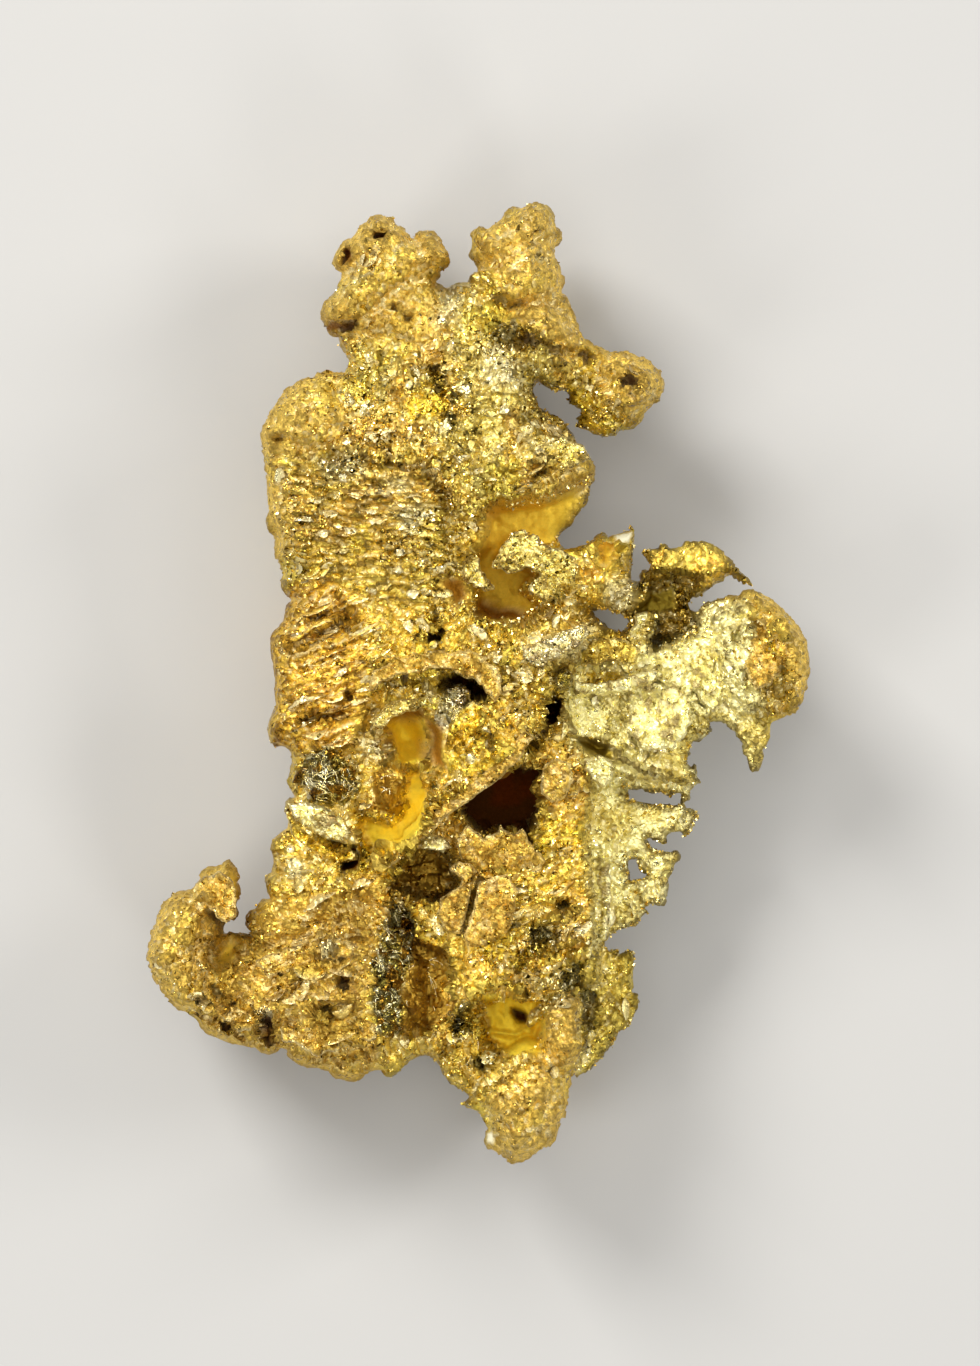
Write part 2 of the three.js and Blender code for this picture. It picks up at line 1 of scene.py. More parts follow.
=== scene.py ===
# %% [markdown]
# Crystallized gold, lying on its back
#
# The real piece is one growth of native gold. It has frosted lumps, a sponge of tiny sharp crystals, deep
# hollows with smooth walls, and leaves as thin as card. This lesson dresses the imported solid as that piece.
# It could be sculpted by hand, but every form here is a formula on a grid, so each can be read and changed.

import bpy
import numpy as np
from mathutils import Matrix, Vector


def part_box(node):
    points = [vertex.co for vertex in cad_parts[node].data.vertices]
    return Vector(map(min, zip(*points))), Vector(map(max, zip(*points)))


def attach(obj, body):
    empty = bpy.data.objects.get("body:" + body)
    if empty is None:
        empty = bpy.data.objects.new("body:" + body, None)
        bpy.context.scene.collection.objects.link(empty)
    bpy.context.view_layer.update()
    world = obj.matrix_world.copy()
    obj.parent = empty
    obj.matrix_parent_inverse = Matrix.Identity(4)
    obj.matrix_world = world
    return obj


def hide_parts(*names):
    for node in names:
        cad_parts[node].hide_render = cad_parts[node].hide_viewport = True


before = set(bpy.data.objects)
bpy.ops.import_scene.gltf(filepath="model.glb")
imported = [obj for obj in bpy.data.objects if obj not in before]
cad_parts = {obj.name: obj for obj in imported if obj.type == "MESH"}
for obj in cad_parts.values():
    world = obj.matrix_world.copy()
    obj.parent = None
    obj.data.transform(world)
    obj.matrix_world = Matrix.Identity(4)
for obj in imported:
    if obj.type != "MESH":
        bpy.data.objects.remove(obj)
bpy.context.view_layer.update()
LOW, HIGH = (np.array(corner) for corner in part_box("gold_mass"))
print("solid", np.round((HIGH - LOW) * 1000, 1), "mm")

# %% [markdown]
# Places are read from the photograph in its own pixels, because that is where the forms can be seen. The
# solid's length gives the size of one pixel, so the numbers follow the frame and not the other way round.
# The piece lies on its back: columns run along X, rows run down along -Y, and height is Z.

# %% Pixels and metres
TOP_ROW = 203
TIP_ROW = 1164
LEFT_COLUMN = 147
RIGHT_COLUMN = 808
IMAGE_COLUMNS = 980
IMAGE_ROWS = 1366
METRES_PER_PX = (HIGH[1] - LOW[1]) / (TIP_ROW - TOP_ROW)
PX_PER_MM = 0.001 / METRES_PER_PX
MIDDLE_COLUMN = (LEFT_COLUMN + RIGHT_COLUMN) / 2
MIDDLE_ROW = (TOP_ROW + TIP_ROW) / 2


def to_metres(points):
    """Points as (column, row, height), all in pixels, become metres in the frame."""
    middle = (LOW + HIGH) / 2
    x = middle[0] + (points[:, 0] - MIDDLE_COLUMN) * METRES_PER_PX
    y = middle[1] + (MIDDLE_ROW - points[:, 1]) * METRES_PER_PX
    z = LOW[2] + points[:, 2] * METRES_PER_PX
    return np.stack([x, y, z], axis=1)


print("one pixel is", round(METRES_PER_PX * 1000, 4), "mm")

# %% [markdown]
# The outline is ragged by nature, so it is a list of points for each stretch of the edge. Three gaps go
# right through the thin leaves of the right wing.

# %% Outline
LEFT_CROWN = [
    (300, 381), (310, 378), (318, 374), (326, 372), (335, 373), (345, 373), (347, 368), (350, 364),
    (346, 356), (341, 347), (339, 337), (333, 335), (328, 331), (327, 327), (322, 320), (321, 313),
    (324, 305), (331, 299), (337, 290), (340, 280), (341, 273), (335, 269), (332, 263), (334, 254),
    (338, 247), (345, 241), (352, 238), (357, 231), (361, 225), (367, 222), (370, 216), (378, 214),
    (384, 217), (392, 216), (395, 224), (404, 228), (409, 235), (415, 241), (414, 235), (420, 231),
    (428, 230), (435, 232), (440, 239), (444, 247), (450, 255), (451, 262), (449, 268), (441, 271),
    (440, 276), (434, 282), (440, 286), (444, 289), (448, 288), (452, 285), (458, 283), (469, 283),
]
RIGHT_CROWN = [
    (470, 275), (478, 271), (477, 266), (473, 261), (469, 255), (471, 247), (470, 239), (473, 231),
    (478, 227), (484, 227), (487, 231), (491, 226), (499, 222), (505, 216), (506, 210), (515, 208),
    (523, 210), (528, 205), (535, 203), (542, 205), (549, 210), (554, 219), (557, 227), (563, 233),
    (562, 242), (555, 248), (556, 257), (561, 267), (563, 279), (562, 293), (567, 297), (571, 308),
    (576, 319), (581, 333), (585, 338),
]
ARM = [
    (597, 345), (610, 351), (625, 351), (637, 356), (649, 360), (657, 371), (663, 380), (664, 390),
    (660, 400), (651, 404), (645, 415), (637, 427), (628, 430), (619, 431), (616, 436), (605, 437),
    (592, 434), (582, 430), (573, 426), (580, 422), (574, 419), (580, 413), (586, 411), (577, 409),
    (567, 405), (568, 400), (570, 396), (566, 391), (555, 391), (545, 388), (538, 383),
]
UPPER_RIGHT = [
    (533, 388), (533, 393), (536, 399), (539, 407), (545, 410), (550, 414), (557, 416), (563, 419),
    (567, 424), (568, 429), (574, 433), (580, 451), (587, 454), (591, 460), (595, 467), (595, 474),
    (592, 481), (590, 490), (587, 499), (581, 509), (575, 516), (574, 522), (562, 530), (558, 536),
    (559, 545), (563, 551),
]
BOX_CRYSTAL = [
    (577, 547), (585, 545), (592, 540), (598, 535), (604, 532), (608, 537), (615, 534), (624, 532),
    (629, 531), (629, 525), (633, 526), (635, 533), (634, 545), (633, 555), (631, 563), (632, 570),
    (631, 580),
]
FLAP = [
    (640, 581), (637, 576), (640, 571), (648, 570), (650, 565), (646, 560), (641, 553), (643, 549),
    (650, 550), (658, 549), (660, 544), (665, 545), (669, 549), (677, 546), (684, 543), (695, 542),
    (706, 542), (714, 546), (720, 551), (726, 558), (733, 566), (742, 574), (748, 580), (752, 586),
    (748, 587), (742, 584), (735, 579), (729, 574), (724, 580), (716, 584), (707, 590), (698, 597),
    (690, 600), (688, 604), (692, 611), (697, 611),
]
LOBE = [
    (703, 606), (709, 602), (718, 599), (728, 597), (737, 596), (742, 592), (749, 590), (757, 592),
    (767, 598), (778, 606), (789, 616), (798, 628), (804, 640), (808, 655), (808, 672), (805, 688),
    (800, 702), (793, 712), (783, 719), (773, 723), (770, 727), (770, 737), (766, 747), (762, 750),
    (765, 757), (762, 765), (758, 771), (751, 772), (748, 765), (745, 757), (740, 752), (741, 744),
    (736, 738), (734, 731), (728, 727), (721, 722), (714, 721), (707, 724),
]
WING_EDGE = [
    (712, 730), (707, 736), (698, 741), (693, 741), (690, 745), (689, 753), (686, 760), (690, 768),
    (695, 762), (697, 768), (696, 775), (702, 781), (690, 791), (690, 800), (685, 803), (685, 808),
    (690, 808), (697, 811), (699, 815), (696, 820), (690, 832), (684, 838), (680, 832), (670, 833),
    (665, 837), (667, 842), (663, 845), (657, 841), (643, 835), (648, 841), (651, 848), (660, 850),
    (670, 851), (677, 850), (681, 855), (680, 860), (675, 864), (673, 871), (669, 876), (668, 885),
    (668, 900), (665, 906), (659, 908), (653, 905), (648, 905), (645, 909), (646, 914), (641, 919),
    (637, 925), (631, 927), (622, 929), (613, 934), (607, 940), (603, 945), (607, 950), (617, 950),
    (620, 955), (626, 951), (632, 950), (634, 957), (635, 967), (634, 980), (635, 988), (631, 994),
    (638, 994), (640, 1001), (637, 1012), (634, 1020), (627, 1029), (618, 1033), (616, 1041), (608, 1049),
    (604, 1056), (600, 1062), (593, 1069), (585, 1074), (578, 1078),
]
TIP = [
    (572, 1076), (571, 1085), (569, 1098), (565, 1112), (560, 1120), (557, 1130), (555, 1140), (550, 1145),
    (541, 1148), (535, 1152), (528, 1159), (520, 1162), (514, 1164), (508, 1162), (502, 1156), (494, 1152),
    (487, 1148), (483, 1142), (485, 1136), (484, 1133), (487, 1129), (484, 1124), (476, 1112), (469, 1109),
    (463, 1107), (459, 1104), (466, 1100), (469, 1097), (463, 1092), (455, 1089), (449, 1083), (445, 1078),
    (440, 1070), (438, 1063), (430, 1055),
]
LOWER_LEFT = [
    (427, 1054), (418, 1057), (410, 1061), (402, 1067), (396, 1074), (391, 1078), (385, 1076), (381, 1070),
    (374, 1070), (367, 1073), (362, 1079), (356, 1082), (345, 1080), (335, 1078), (329, 1071), (318, 1068),
    (305, 1067), (296, 1063), (289, 1058), (286, 1050), (281, 1048), (277, 1052), (270, 1054), (263, 1052),
    (257, 1048),
]
CURL = [
    (245, 1046), (232, 1044), (221, 1040), (210, 1034), (201, 1026), (196, 1018), (188, 1013), (178, 1009),
    (169, 999), (162, 990), (154, 978), (150, 968), (147, 958), (150, 943), (154, 928), (159, 914),
    (166, 903), (174, 894), (183, 891), (190, 890), (196, 884), (200, 878), (202, 871), (208, 867),
    (216, 868), (222, 865), (229, 859), (233, 864), (238, 869), (240, 876), (238, 883), (240, 890),
    (239, 898), (236, 902), (237, 909), (238, 915), (234, 920), (228, 922), (224, 925), (224, 933),
    (233, 933), (243, 934), (250, 936),
]
SLAB_EDGE = [
    (251, 931), (247, 927), (245, 919), (249, 912), (256, 909), (258, 903), (263, 899), (271, 898),
    (267, 893), (265, 885), (266, 876), (272, 873), (274, 866), (273, 858), (270, 848), (272, 838),
    (280, 833), (286, 828), (288, 820), (284, 812), (285, 803), (290, 799), (295, 797), (291, 790),
    (287, 781), (290, 777), (292, 771), (293, 762), (291, 752), (286, 748), (280, 746), (275, 748),
    (270, 742), (267, 730), (269, 720), (272, 713), (276, 705), (274, 692), (275, 680), (273, 665),
    (270, 650), (270, 637), (273, 631), (279, 626), (283, 621), (284, 613), (286, 604), (291, 600),
    (286, 596), (281, 590), (280, 582), (283, 573), (280, 567), (277, 558), (276, 547), (276, 539),
    (272, 533), (268, 528), (266, 521), (268, 510), (267, 495), (267, 480), (265, 465), (262, 450),
    (262, 437), (266, 424), (271, 412), (278, 401), (287, 391), (293, 387),
]
OUTLINE = np.array(
    LEFT_CROWN + RIGHT_CROWN + ARM + UPPER_RIGHT + BOX_CRYSTAL + FLAP
    + LOBE + WING_EDGE + TIP + LOWER_LEFT + CURL + SLAB_EDGE,
    dtype=float,
)
GAP_BY_BOX = [
    (592, 610), (600, 609), (606, 608), (612, 613), (621, 614), (627, 620), (628, 626), (622, 631),
    (606, 627), (595, 616),
]
GAP_UNDER_LIP = [
    (621, 785), (630, 789), (640, 791), (652, 793), (662, 792), (671, 798), (674, 793), (680, 795),
    (681, 803), (672, 805), (655, 804), (640, 802), (633, 800), (627, 798), (630, 793),
]
GAP_IN_LEAF = [
    (628, 862), (632, 859), (637, 859), (638, 866), (642, 872), (649, 873), (645, 878), (637, 880),
    (630, 881), (629, 872),
]
GAPS = [np.array(gap, dtype=float) for gap in (GAP_BY_BOX, GAP_UNDER_LIP, GAP_IN_LEAF)]
print(len(OUTLINE), "points of outline and", len(GAPS), "gaps")

# %% [markdown]
# Everything that follows needs to know how far a point is from an edge or a path. These helpers work on
# whole arrays of points at once and loop only over the few stretches of a path.

# %% Distances
def nearest_on_path(x, y, path):
    """Distance to a path of straight stretches, and the nearest point on it, for arrays of points."""
    distance = np.full(x.shape, np.inf)
    near_x = np.zeros(x.shape)
    near_y = np.zeros(x.shape)
    for (ax, ay), (bx, by) in zip(path[:-1], path[1:]):
        along = ((x - ax) * (bx - ax) + (y - ay) * (by - ay)) / ((bx - ax) ** 2 + (by - ay) ** 2)
        along = np.clip(along, 0, 1)
        px = ax + along * (bx - ax)
        py = ay + along * (by - ay)
        d = np.hypot(x - px, y - py)
        closer = d < distance
        distance = np.where(closer, d, distance)
        near_x = np.where(closer, px, near_x)
        near_y = np.where(closer, py, near_y)
    return distance, near_x, near_y


def is_inside(x, y, outline):
    """True where a line to the right crosses the closed outline an odd number of times."""
    inside = np.zeros(x.shape, dtype=bool)
    for (ax, ay), (bx, by) in zip(outline, np.roll(outline, -1, axis=0)):
        if ay == by:
            continue
        crosses = ((ay > y) != (by > y)) & (x < ax + (y - ay) / (by - ay) * (bx - ax))
        inside ^= crosses
    return inside


def depth_inside(x, y, outline):
    """Distance to a closed outline, positive inside and negative outside."""
    outline = np.asarray(outline, dtype=float)
    distance = nearest_on_path(x, y, np.vstack([outline, outline[:1]]))[0]
    return np.where(is_inside(x, y, outline), distance, -distance)


def smoothstep(low, high, value):
    """0 below low, 1 above high, and a smooth S between them."""
    t = np.clip((value - low) / (high - low), 0, 1)
    return t * t * (3 - 2 * t)


middle_depth = depth_inside(np.array([MIDDLE_COLUMN]), np.array([MIDDLE_ROW]), OUTLINE)
print("the middle lies", round(float(middle_depth[0])), "pixels inside the outline")

# %% [markdown]
# The forms of the front are laid on like cut paper, from the deepest to the nearest: layers with a front and
# a back level, then rounded lumps, rolled ridges and hollows. Heights are in millimetres above the floor.

# %% Layers
BODY_FRONT = 8.8
BODY_BACK = 2.6


def layer(front, back, soft, edge):
    """A leaf or a hollow: its front and back level, and the width in pixels of the step round it."""
    return {"front": front, "back": back, "soft": soft, "edge": edge}


LAYERS = {
    "right wing": layer(7.5, 5.9, 14, [
        (572, 640), (600, 628), (650, 640), (700, 600), (760, 560), (830, 560), (830, 800), (700, 800),
        (640, 800), (606, 770), (575, 735)]),
    "lower wing": layer(6.4, 5.0, 8, [
        (592, 772), (640, 783), (720, 783), (720, 920), (640, 960), (596, 945), (594, 860)]),
    "foot of the wing": layer(5.5, 4.1, 8, [
        (580, 945), (650, 945), (650, 1090), (574, 1090), (574, 1000)]),
    "web behind the flap": layer(4.6, 3.3, 6, [
        (628, 565), (650, 560), (700, 575), (690, 605), (703, 625), (672, 640), (652, 652), (648, 640),
        (652, 615), (630, 612)]),
    "flap": layer(8.2, 6.8, 7, [
        (636, 540), (700, 530), (770, 570), (760, 595), (728, 572), (690, 576), (655, 570), (636, 568)]),
    "neck": layer(9.4, 3.0, 16, [(320, 300), (440, 270), (600, 270), (600, 380), (340, 390)]),
    "arm": layer(7.9, 3.9, 12, [(575, 335), (680, 340), (680, 445), (565, 445)]),
    "upper body": layer(10.4, 2.8, 14, [
        (240, 365), (350, 372), (560, 350), (572, 440), (604, 455), (604, 474), (560, 492), (500, 508),
        (470, 520), (455, 500), (425, 465), (345, 458), (300, 446), (240, 455)]),
    "left slab": layer(9.8, 2.4, 10, [
        (240, 452), (300, 450), (345, 462), (425, 470), (450, 510), (455, 600), (400, 680), (372, 700),
        (365, 745), (240, 765)]),
    "yellow recess": layer(4.7, 2.9, 14, [
        (486, 514), (560, 494), (610, 472), (610, 505), (560, 540), (556, 560), (545, 548), (520, 540),
        (500, 558), (535, 574), (520, 592), (545, 602), (520, 620), (490, 625), (474, 618), (478, 590),
        (470, 572), (484, 545)]),
    "frilled island": layer(9.2, 4.0, 5, [
        (498, 562), (505, 545), (516, 534), (530, 536), (545, 546), (570, 542), (645, 518), (645, 590),
        (634, 618), (600, 612), (580, 600), (550, 607), (530, 600), (520, 588), (536, 572)]),
    "centre": layer(10.1, 2.6, 10, [
        (395, 690), (440, 600), (475, 627), (520, 625), (560, 612), (592, 625), (575, 655), (552, 668),
        (540, 700), (545, 740), (520, 765), (470, 795), (430, 790), (440, 760), (430, 700)]),
    "lower centre": layer(9.6, 2.8, 10, [
        (440, 892), (470, 880), (590, 850), (596, 980), (560, 992), (500, 985), (455, 1005), (440, 1000),
        (450, 950)]),
    "dark hole": layer(2.1, 0.9, 3, [
        (503, 768), (520, 764), (524, 771), (538, 764), (541, 770), (537, 787), (543, 800), (544, 812),
        (536, 814), (534, 835), (536, 848), (523, 834), (512, 830), (504, 835), (498, 825), (486, 835),
        (470, 820), (462, 804), (476, 788)]),
    "wide bowl": layer(7.2, 2.6, 9, [
        (358, 812), (372, 822), (392, 824), (404, 802), (402, 776), (416, 766), (434, 780), (438, 800),
        (424, 828),
        (400, 848), (376, 856), (362, 840)]),
    "brown hollow": layer(5.0, 2.6, 5, [
        (418, 836), (436, 846), (452, 854), (457, 872), (450, 888), (436, 895), (410, 893), (392, 890),
        (402, 862)]),
    "dark smooth face": layer(7.2, 2.6, 6, [
        (395, 894), (408, 904), (416, 925), (420, 942), (440, 950), (452, 962), (450, 1000), (440, 1026),
        (405, 1034), (376, 1026), (370, 985), (377, 950), (388, 925)]),
    "leaf of the tip": layer(7.4, 3.6, 10, [
        (430, 1020), (490, 1010), (510, 1070), (480, 1110), (440, 1110), (420, 1050)]),
    "hollow of the tip": layer(4.8, 3.0, 7, [
        (478, 1010), (510, 994), (545, 996), (540, 1030), (535, 1052), (510, 1062), (484, 1050)]),
}
print(len(LAYERS), "layers")

# %% Lumps, hollows, ridges and feet
def rounded(at, radii, turn, rim, end):
    """Half an ellipsoid: centre and radii in pixels, turn in degrees, and the heights of its rim and end."""
    return {"at": at, "radii": radii, "turn": turn, "rim": rim, "end": end}


LUMPS = {
    "shoulder": rounded((306, 415), (54, 50), 40, 8.4, 11.5),
    "left horn": rounded((376, 246), (48, 36), 10, 7.0, 10.5),
    "left horn knob": rounded((428, 252), (26, 26), 0, 7.2, 9.8),
    "right horn": rounded((518, 243), (50, 44), 20, 7.0, 10.6),
    "right horn top": rounded((536, 222), (26, 24), 0, 8.0, 11.0),
    "right horn belly": rounded((520, 284), (42, 28), 0, 8.4, 11.4),
    "right horn base": rounded((540, 328), (40, 30), -30, 8.2, 11.2),
    "right horn side": rounded((494, 322), (22, 24), 0, 8.6, 10.8),
    "arm end": rounded((630, 390), (40, 44), 0, 6.2, 9.8),
    "box crystal": rounded((608, 572), (26, 42), 0, 8.4, 10.4),
    "centre flakes": rounded((488, 742), (56, 34), 38, 8.8, 11.2),
    "net": rounded((330, 776), (32, 33), 0, 7.6, 10.2),
    "brown dome": rounded((385, 792), (18, 28), 8, 6.6, 9.6),
    "under pod": rounded((323, 838), (39, 13), -31, 7.2, 10.0),
    "pod": rounded((327, 821), (38, 13), -29, 8.2, 10.9),
    "lower mass": rounded((322, 985), (104, 92), 0, 6.4, 11.8),
    "upper lower mass": rounded((305, 905), (56, 44), 20, 7.4, 10.8),
    "lobe": rounded((758, 655), (56, 76), 0, 5.6, 10.0),
    "tail of the lobe": rounded((752, 735), (18, 42), 0, 5.8, 7.6),
    "tip": rounded((524, 1105), (52, 66), -12, 5.0, 10.8),
    "side of the tip": rounded((560, 1032), (22, 50), 0, 6.2, 10.4),
    "bead": rounded((489, 1136), (8, 8), 0, 6.6, 8.6),
}
HOLLOWS = {
    "yellow bowl": rounded((403, 737), (27, 36), 10, 11.0, 5.4),
    "cavity": rounded((472, 690), (27, 15), -24, 11.5, 4.6),
    "gap by the wing": rounded((553, 708), (9, 17), -40, 11.0, 4.2),
    "valley of the curl": rounded((230, 950), (22, 22), 0, 10.5, 6.4),
    "hollow of the lobe": rounded((770, 678), (18, 30), 8, 10.6, 8.2),
    "pit of the tip": rounded((518, 1016), (9, 9), 0, 6.0, 3.4),
    "hole under the pods": rounded((346, 859), (10, 8), 20, 10.0, 5.4),
}
FOOT_END = -0.7
FEET = {
    "slab foot": rounded((345, 560), (84, 150), 0, BODY_BACK, FOOT_END),
    "lower foot": rounded((318, 972), (84, 72), 0, BODY_BACK, FOOT_END),
    "centre foot": rounded((505, 690), (82, 100), 20, BODY_BACK, FOOT_END),
    "crown foot": rounded((500, 330), (76, 62), 0, BODY_BACK, FOOT_END),
    "tip foot": rounded((528, 1050), (42, 64), 0, BODY_BACK, FOOT_END),
}


def ridge(half, rim, top, path):
    """A rounded fold along a path: half its width in pixels, its rim and its top."""
    return {"half": half, "rim": rim, "top": top, "path": path}


RIDGES = {
    "rolled edge of the left horn": ridge(24, 7.6, 10.9, [(332, 312), (366, 290), (402, 262), (440, 257)]),
    "curl": ridge(36, 6.0, 10.6, [(226, 876), (192, 903), (172, 945), (178, 985), (210, 1014), (270, 1032)]),
    "edge of the centre plate": ridge(10, 8.6, 10.9, [(386, 862), (444, 803), (494, 772), (526, 736)]),
    "fold of the wing": ridge(8, 7.3, 9.0, [(578, 688), (615, 684), (655, 674)]),
    "lip of the wing": ridge(8, 6.6, 8.4, [(612, 758), (650, 774), (700, 781)]),
    "rim of the lobe": ridge(17, 8.0, 10.4, [(748, 602), (782, 626), (797, 664), (788, 700)]),
    "crease of the lower wing": ridge(8, 6.2, 7.6, [(600, 862), (601, 940)]),
}
print(len(LUMPS), "lumps,", len(HOLLOWS), "hollows and", len(RIDGES), "ridges")

# %% [markdown]
# Smaller forms have no level of their own. They ride on what is there: a knob raises it, a pit sinks it, and
# a wrinkle or a crack does the same along a path.

# %% Knobs, pits, wrinkles and cracks
KNOB_RISE = 0.75
KNOBS = {
    "right horn": [
        (535, 212, 13), (545, 217, 7), (515, 213, 11), (479, 235, 10), (495, 244, 15), (491, 228, 8),
        (516, 226, 8), (520, 238, 9), (531, 235, 9), (543, 235, 8), (559, 236, 7), (546, 246, 8),
        (550, 256, 7),
        (505, 240, 8), (563, 303, 8), (506, 258, 9), (486, 262, 9)],
    "left horn": [
        (428, 241, 14), (440, 262, 12), (352, 245, 9), (362, 230, 9), (373, 222, 8), (389, 224, 9),
        (340, 264, 9), (397, 238, 10), (363, 248, 10), (381, 252, 11), (331, 317, 12), (348, 298, 11),
        (368, 274, 13), (405, 250, 8), (415, 262, 9)],
    "arm": [
        (651, 385, 14), (640, 368, 11), (612, 372, 12), (603, 358, 10), (641, 405, 13), (621, 412, 12),
        (589, 362, 9), (597, 376, 9), (655, 370, 8)],
    "recess rim": [
        (507, 546, 8), (517, 538, 7), (528, 541, 7), (540, 547, 8), (553, 550, 8), (566, 550, 7),
        (531, 556, 7),
        (548, 562, 8), (560, 572, 9), (545, 582, 8), (560, 590, 9), (575, 578, 9), (533, 592, 6),
        (496, 560, 6)],
    "box crystal": [(603, 541, 11), (617, 599, 11), (600, 590, 10), (590, 600, 8), (625, 583, 9),
                    (588, 560, 10)],
    "centre": [(563, 679, 11), (540, 684, 12), (557, 772, 15), (520, 655, 11), (500, 645, 10),
               (548, 640, 12),
               (456, 704, 15), (596, 766, 13), (510, 700, 12), (520, 722, 11)],
    "hole rim": [
        (498, 830, 7), (519, 832, 8), (509, 838, 7), (529, 842, 7), (486, 843, 7), (540, 826, 6),
        (548, 812, 6),
        (476, 832, 6), (546, 790, 6), (465, 815, 6)],
    "left edge": [(278, 843, 10), (273, 880, 9), (277, 735, 12), (298, 868, 10), (284, 815, 9)],
    "cup rim": [
        (494, 999, 8), (561, 994, 9), (567, 1012, 9), (565, 1027, 9), (565, 1041, 8), (553, 1005, 7),
        (545, 990, 7), (480, 1003, 7)],
    "curl": [(233, 868, 9), (216, 880, 12), (222, 903, 14), (204, 893, 10), (165, 950, 16), (188, 930, 15)],
    "lower mass": [
        (331, 940, 16), (290, 925, 17), (270, 965, 16), (305, 975, 18), (350, 965, 15), (345, 1010, 17),
        (310, 1020, 19), (283, 1000, 14), (300, 1050, 16), (350, 1055, 16), (330, 900, 15), (365, 930, 12)],
    "tip": [(540, 1085, 15), (510, 1100, 16), (545, 1115, 14), (515, 1130, 17), (535, 1140, 13),
            (500, 1148, 9)],
    "lobe": [(762, 606, 14), (786, 628, 15), (796, 662, 15), (790, 698, 14), (742, 632, 13)],
}
PITS = [
    (379, 235, 7, 4, 15, 2.0), (344, 257, 4, 8, -10, 1.9), (395, 312, 5, 3, -20, 0.8),
    (409, 320, 8, 3, -30, 0.9), (627, 386, 9, 6, -20, 1.9), (617, 388, 5, 4, 0, 1.3),
    (318, 408, 12, 9, 20, 0.3), (286, 443, 5, 4, 20, 1.1), (431, 375, 5, 8, 10, 1.0),
    (434, 388, 6, 6, 0, 0.9), (442, 402, 4, 5, 30, 0.9), (452, 402, 5, 3, -50, 0.9),
    (451, 425, 4, 7, 30, 1.0), (474, 431, 4, 4, 0, 0.7), (476, 413, 4, 5, 0, 0.7),
    (514, 347, 24, 12, -15, 0.8), (434, 636, 6, 6, 0, 3.0), (427, 667, 8, 5, 12, 2.8),
    (387, 670, 9, 5, 25, 2.8), (405, 676, 6, 3, 10, 1.6), (354, 691, 4, 5, 0, 1.2),
    (605, 557, 11, 14, 0, 1.6), (480, 692, 10, 6, -30, 2.0), (588, 772, 6, 5, 0, 1.2),
    (487, 736, 9, 4, -35, 1.0), (618, 726, 8, 9, 0, 0.5), (655, 642, 10, 8, 20, 1.2),
    (734, 637, 3, 4, 0, 1.0), (227, 1000, 9, 5, 10, 1.4), (205, 992, 7, 4, -20, 1.0),
    (270, 1026, 9, 16, 5, 1.8), (346, 980, 5, 5, 0, 1.9), (217, 914, 7, 12, 20, 1.6),
    (485, 1063, 6, 5, 0, 1.8), (529, 1103, 3, 5, -10, 1.2), (456, 1021, 8, 10, 0, 0.9),
    (544, 935, 13, 6, 25, 0.9), (525, 951, 8, 4, 30, 0.9), (567, 976, 10, 12, 0, 1.0),
    (562, 905, 9, 7, 20, 0.8), (580, 360, 12, 5, -20, 0.7), (756, 712, 4, 12, 12, 1.0),
    (748, 672, 6, 8, 0, 0.6), (265, 940, 9, 5, 30, 0.8),
]
WRINKLES = {
    "bands over the recess": [
        (4, 0.7, [(485, 500), (540, 484), (592, 462)]), (4, 0.6, [(482, 489), (538, 472), (588, 452)]),
        (3, 0.5, [(490, 478), (540, 460), (582, 442)]), (3, 0.4, [(505, 468), (548, 450), (576, 436)])],
    "shoulder line": [(5, 0.35, [(270, 440), (274, 415), (290, 394), (312, 381)])],
    "fan": [
        (3, 0.4, [(450, 742), (458, 718), (474, 704)]), (3, 0.4, [(456, 746), (468, 722), (484, 708)]),
        (2.5, 0.35, [(464, 748), (478, 728), (490, 718)])],
    "plate edges": [(3, 0.7, [(452, 872), (464, 866), (473, 878), (468, 892)]),
                    (3, 0.6, [(440, 848), (424, 840)]),
                    (3, 0.5, [(520, 988), (545, 984), (570, 990)])],
    "dark facets": [
        (3, 0.8, [(510, 962), (535, 945), (570, 935)]), (3, 0.7, [(520, 978), (548, 958), (578, 950)]),
        (3, 0.7, [(500, 940), (528, 922), (562, 915)]), (2, 0.7, [(536, 985), (556, 968)])],
    "cup folds": [(3, 0.3, [(488, 1035), (510, 1038), (530, 1030)]), (3, 0.3, [(492, 1048), (512, 1052)]),
                  (5, 1.2, [(526, 1022), (543, 1006)])],
    "pod seams": [(3, 0.5, [(296, 806), (330, 812), (352, 832)]),
                  (3, 0.5, [(300, 824), (322, 840), (348, 853)])],
    "bark": [(5, 0.5, [(285, 645), (320, 622), (352, 612)]), (4, 0.5, [(292, 655), (330, 634), (360, 628)]),
             (4, 0.4, [(288, 635), (315, 612), (345, 598)])],
    "mirror edge": [(3, 0.6, [(395, 893), (408, 925), (414, 950)]),
                    (4, 0.5, [(378, 955), (402, 988), (425, 1024)])],
}
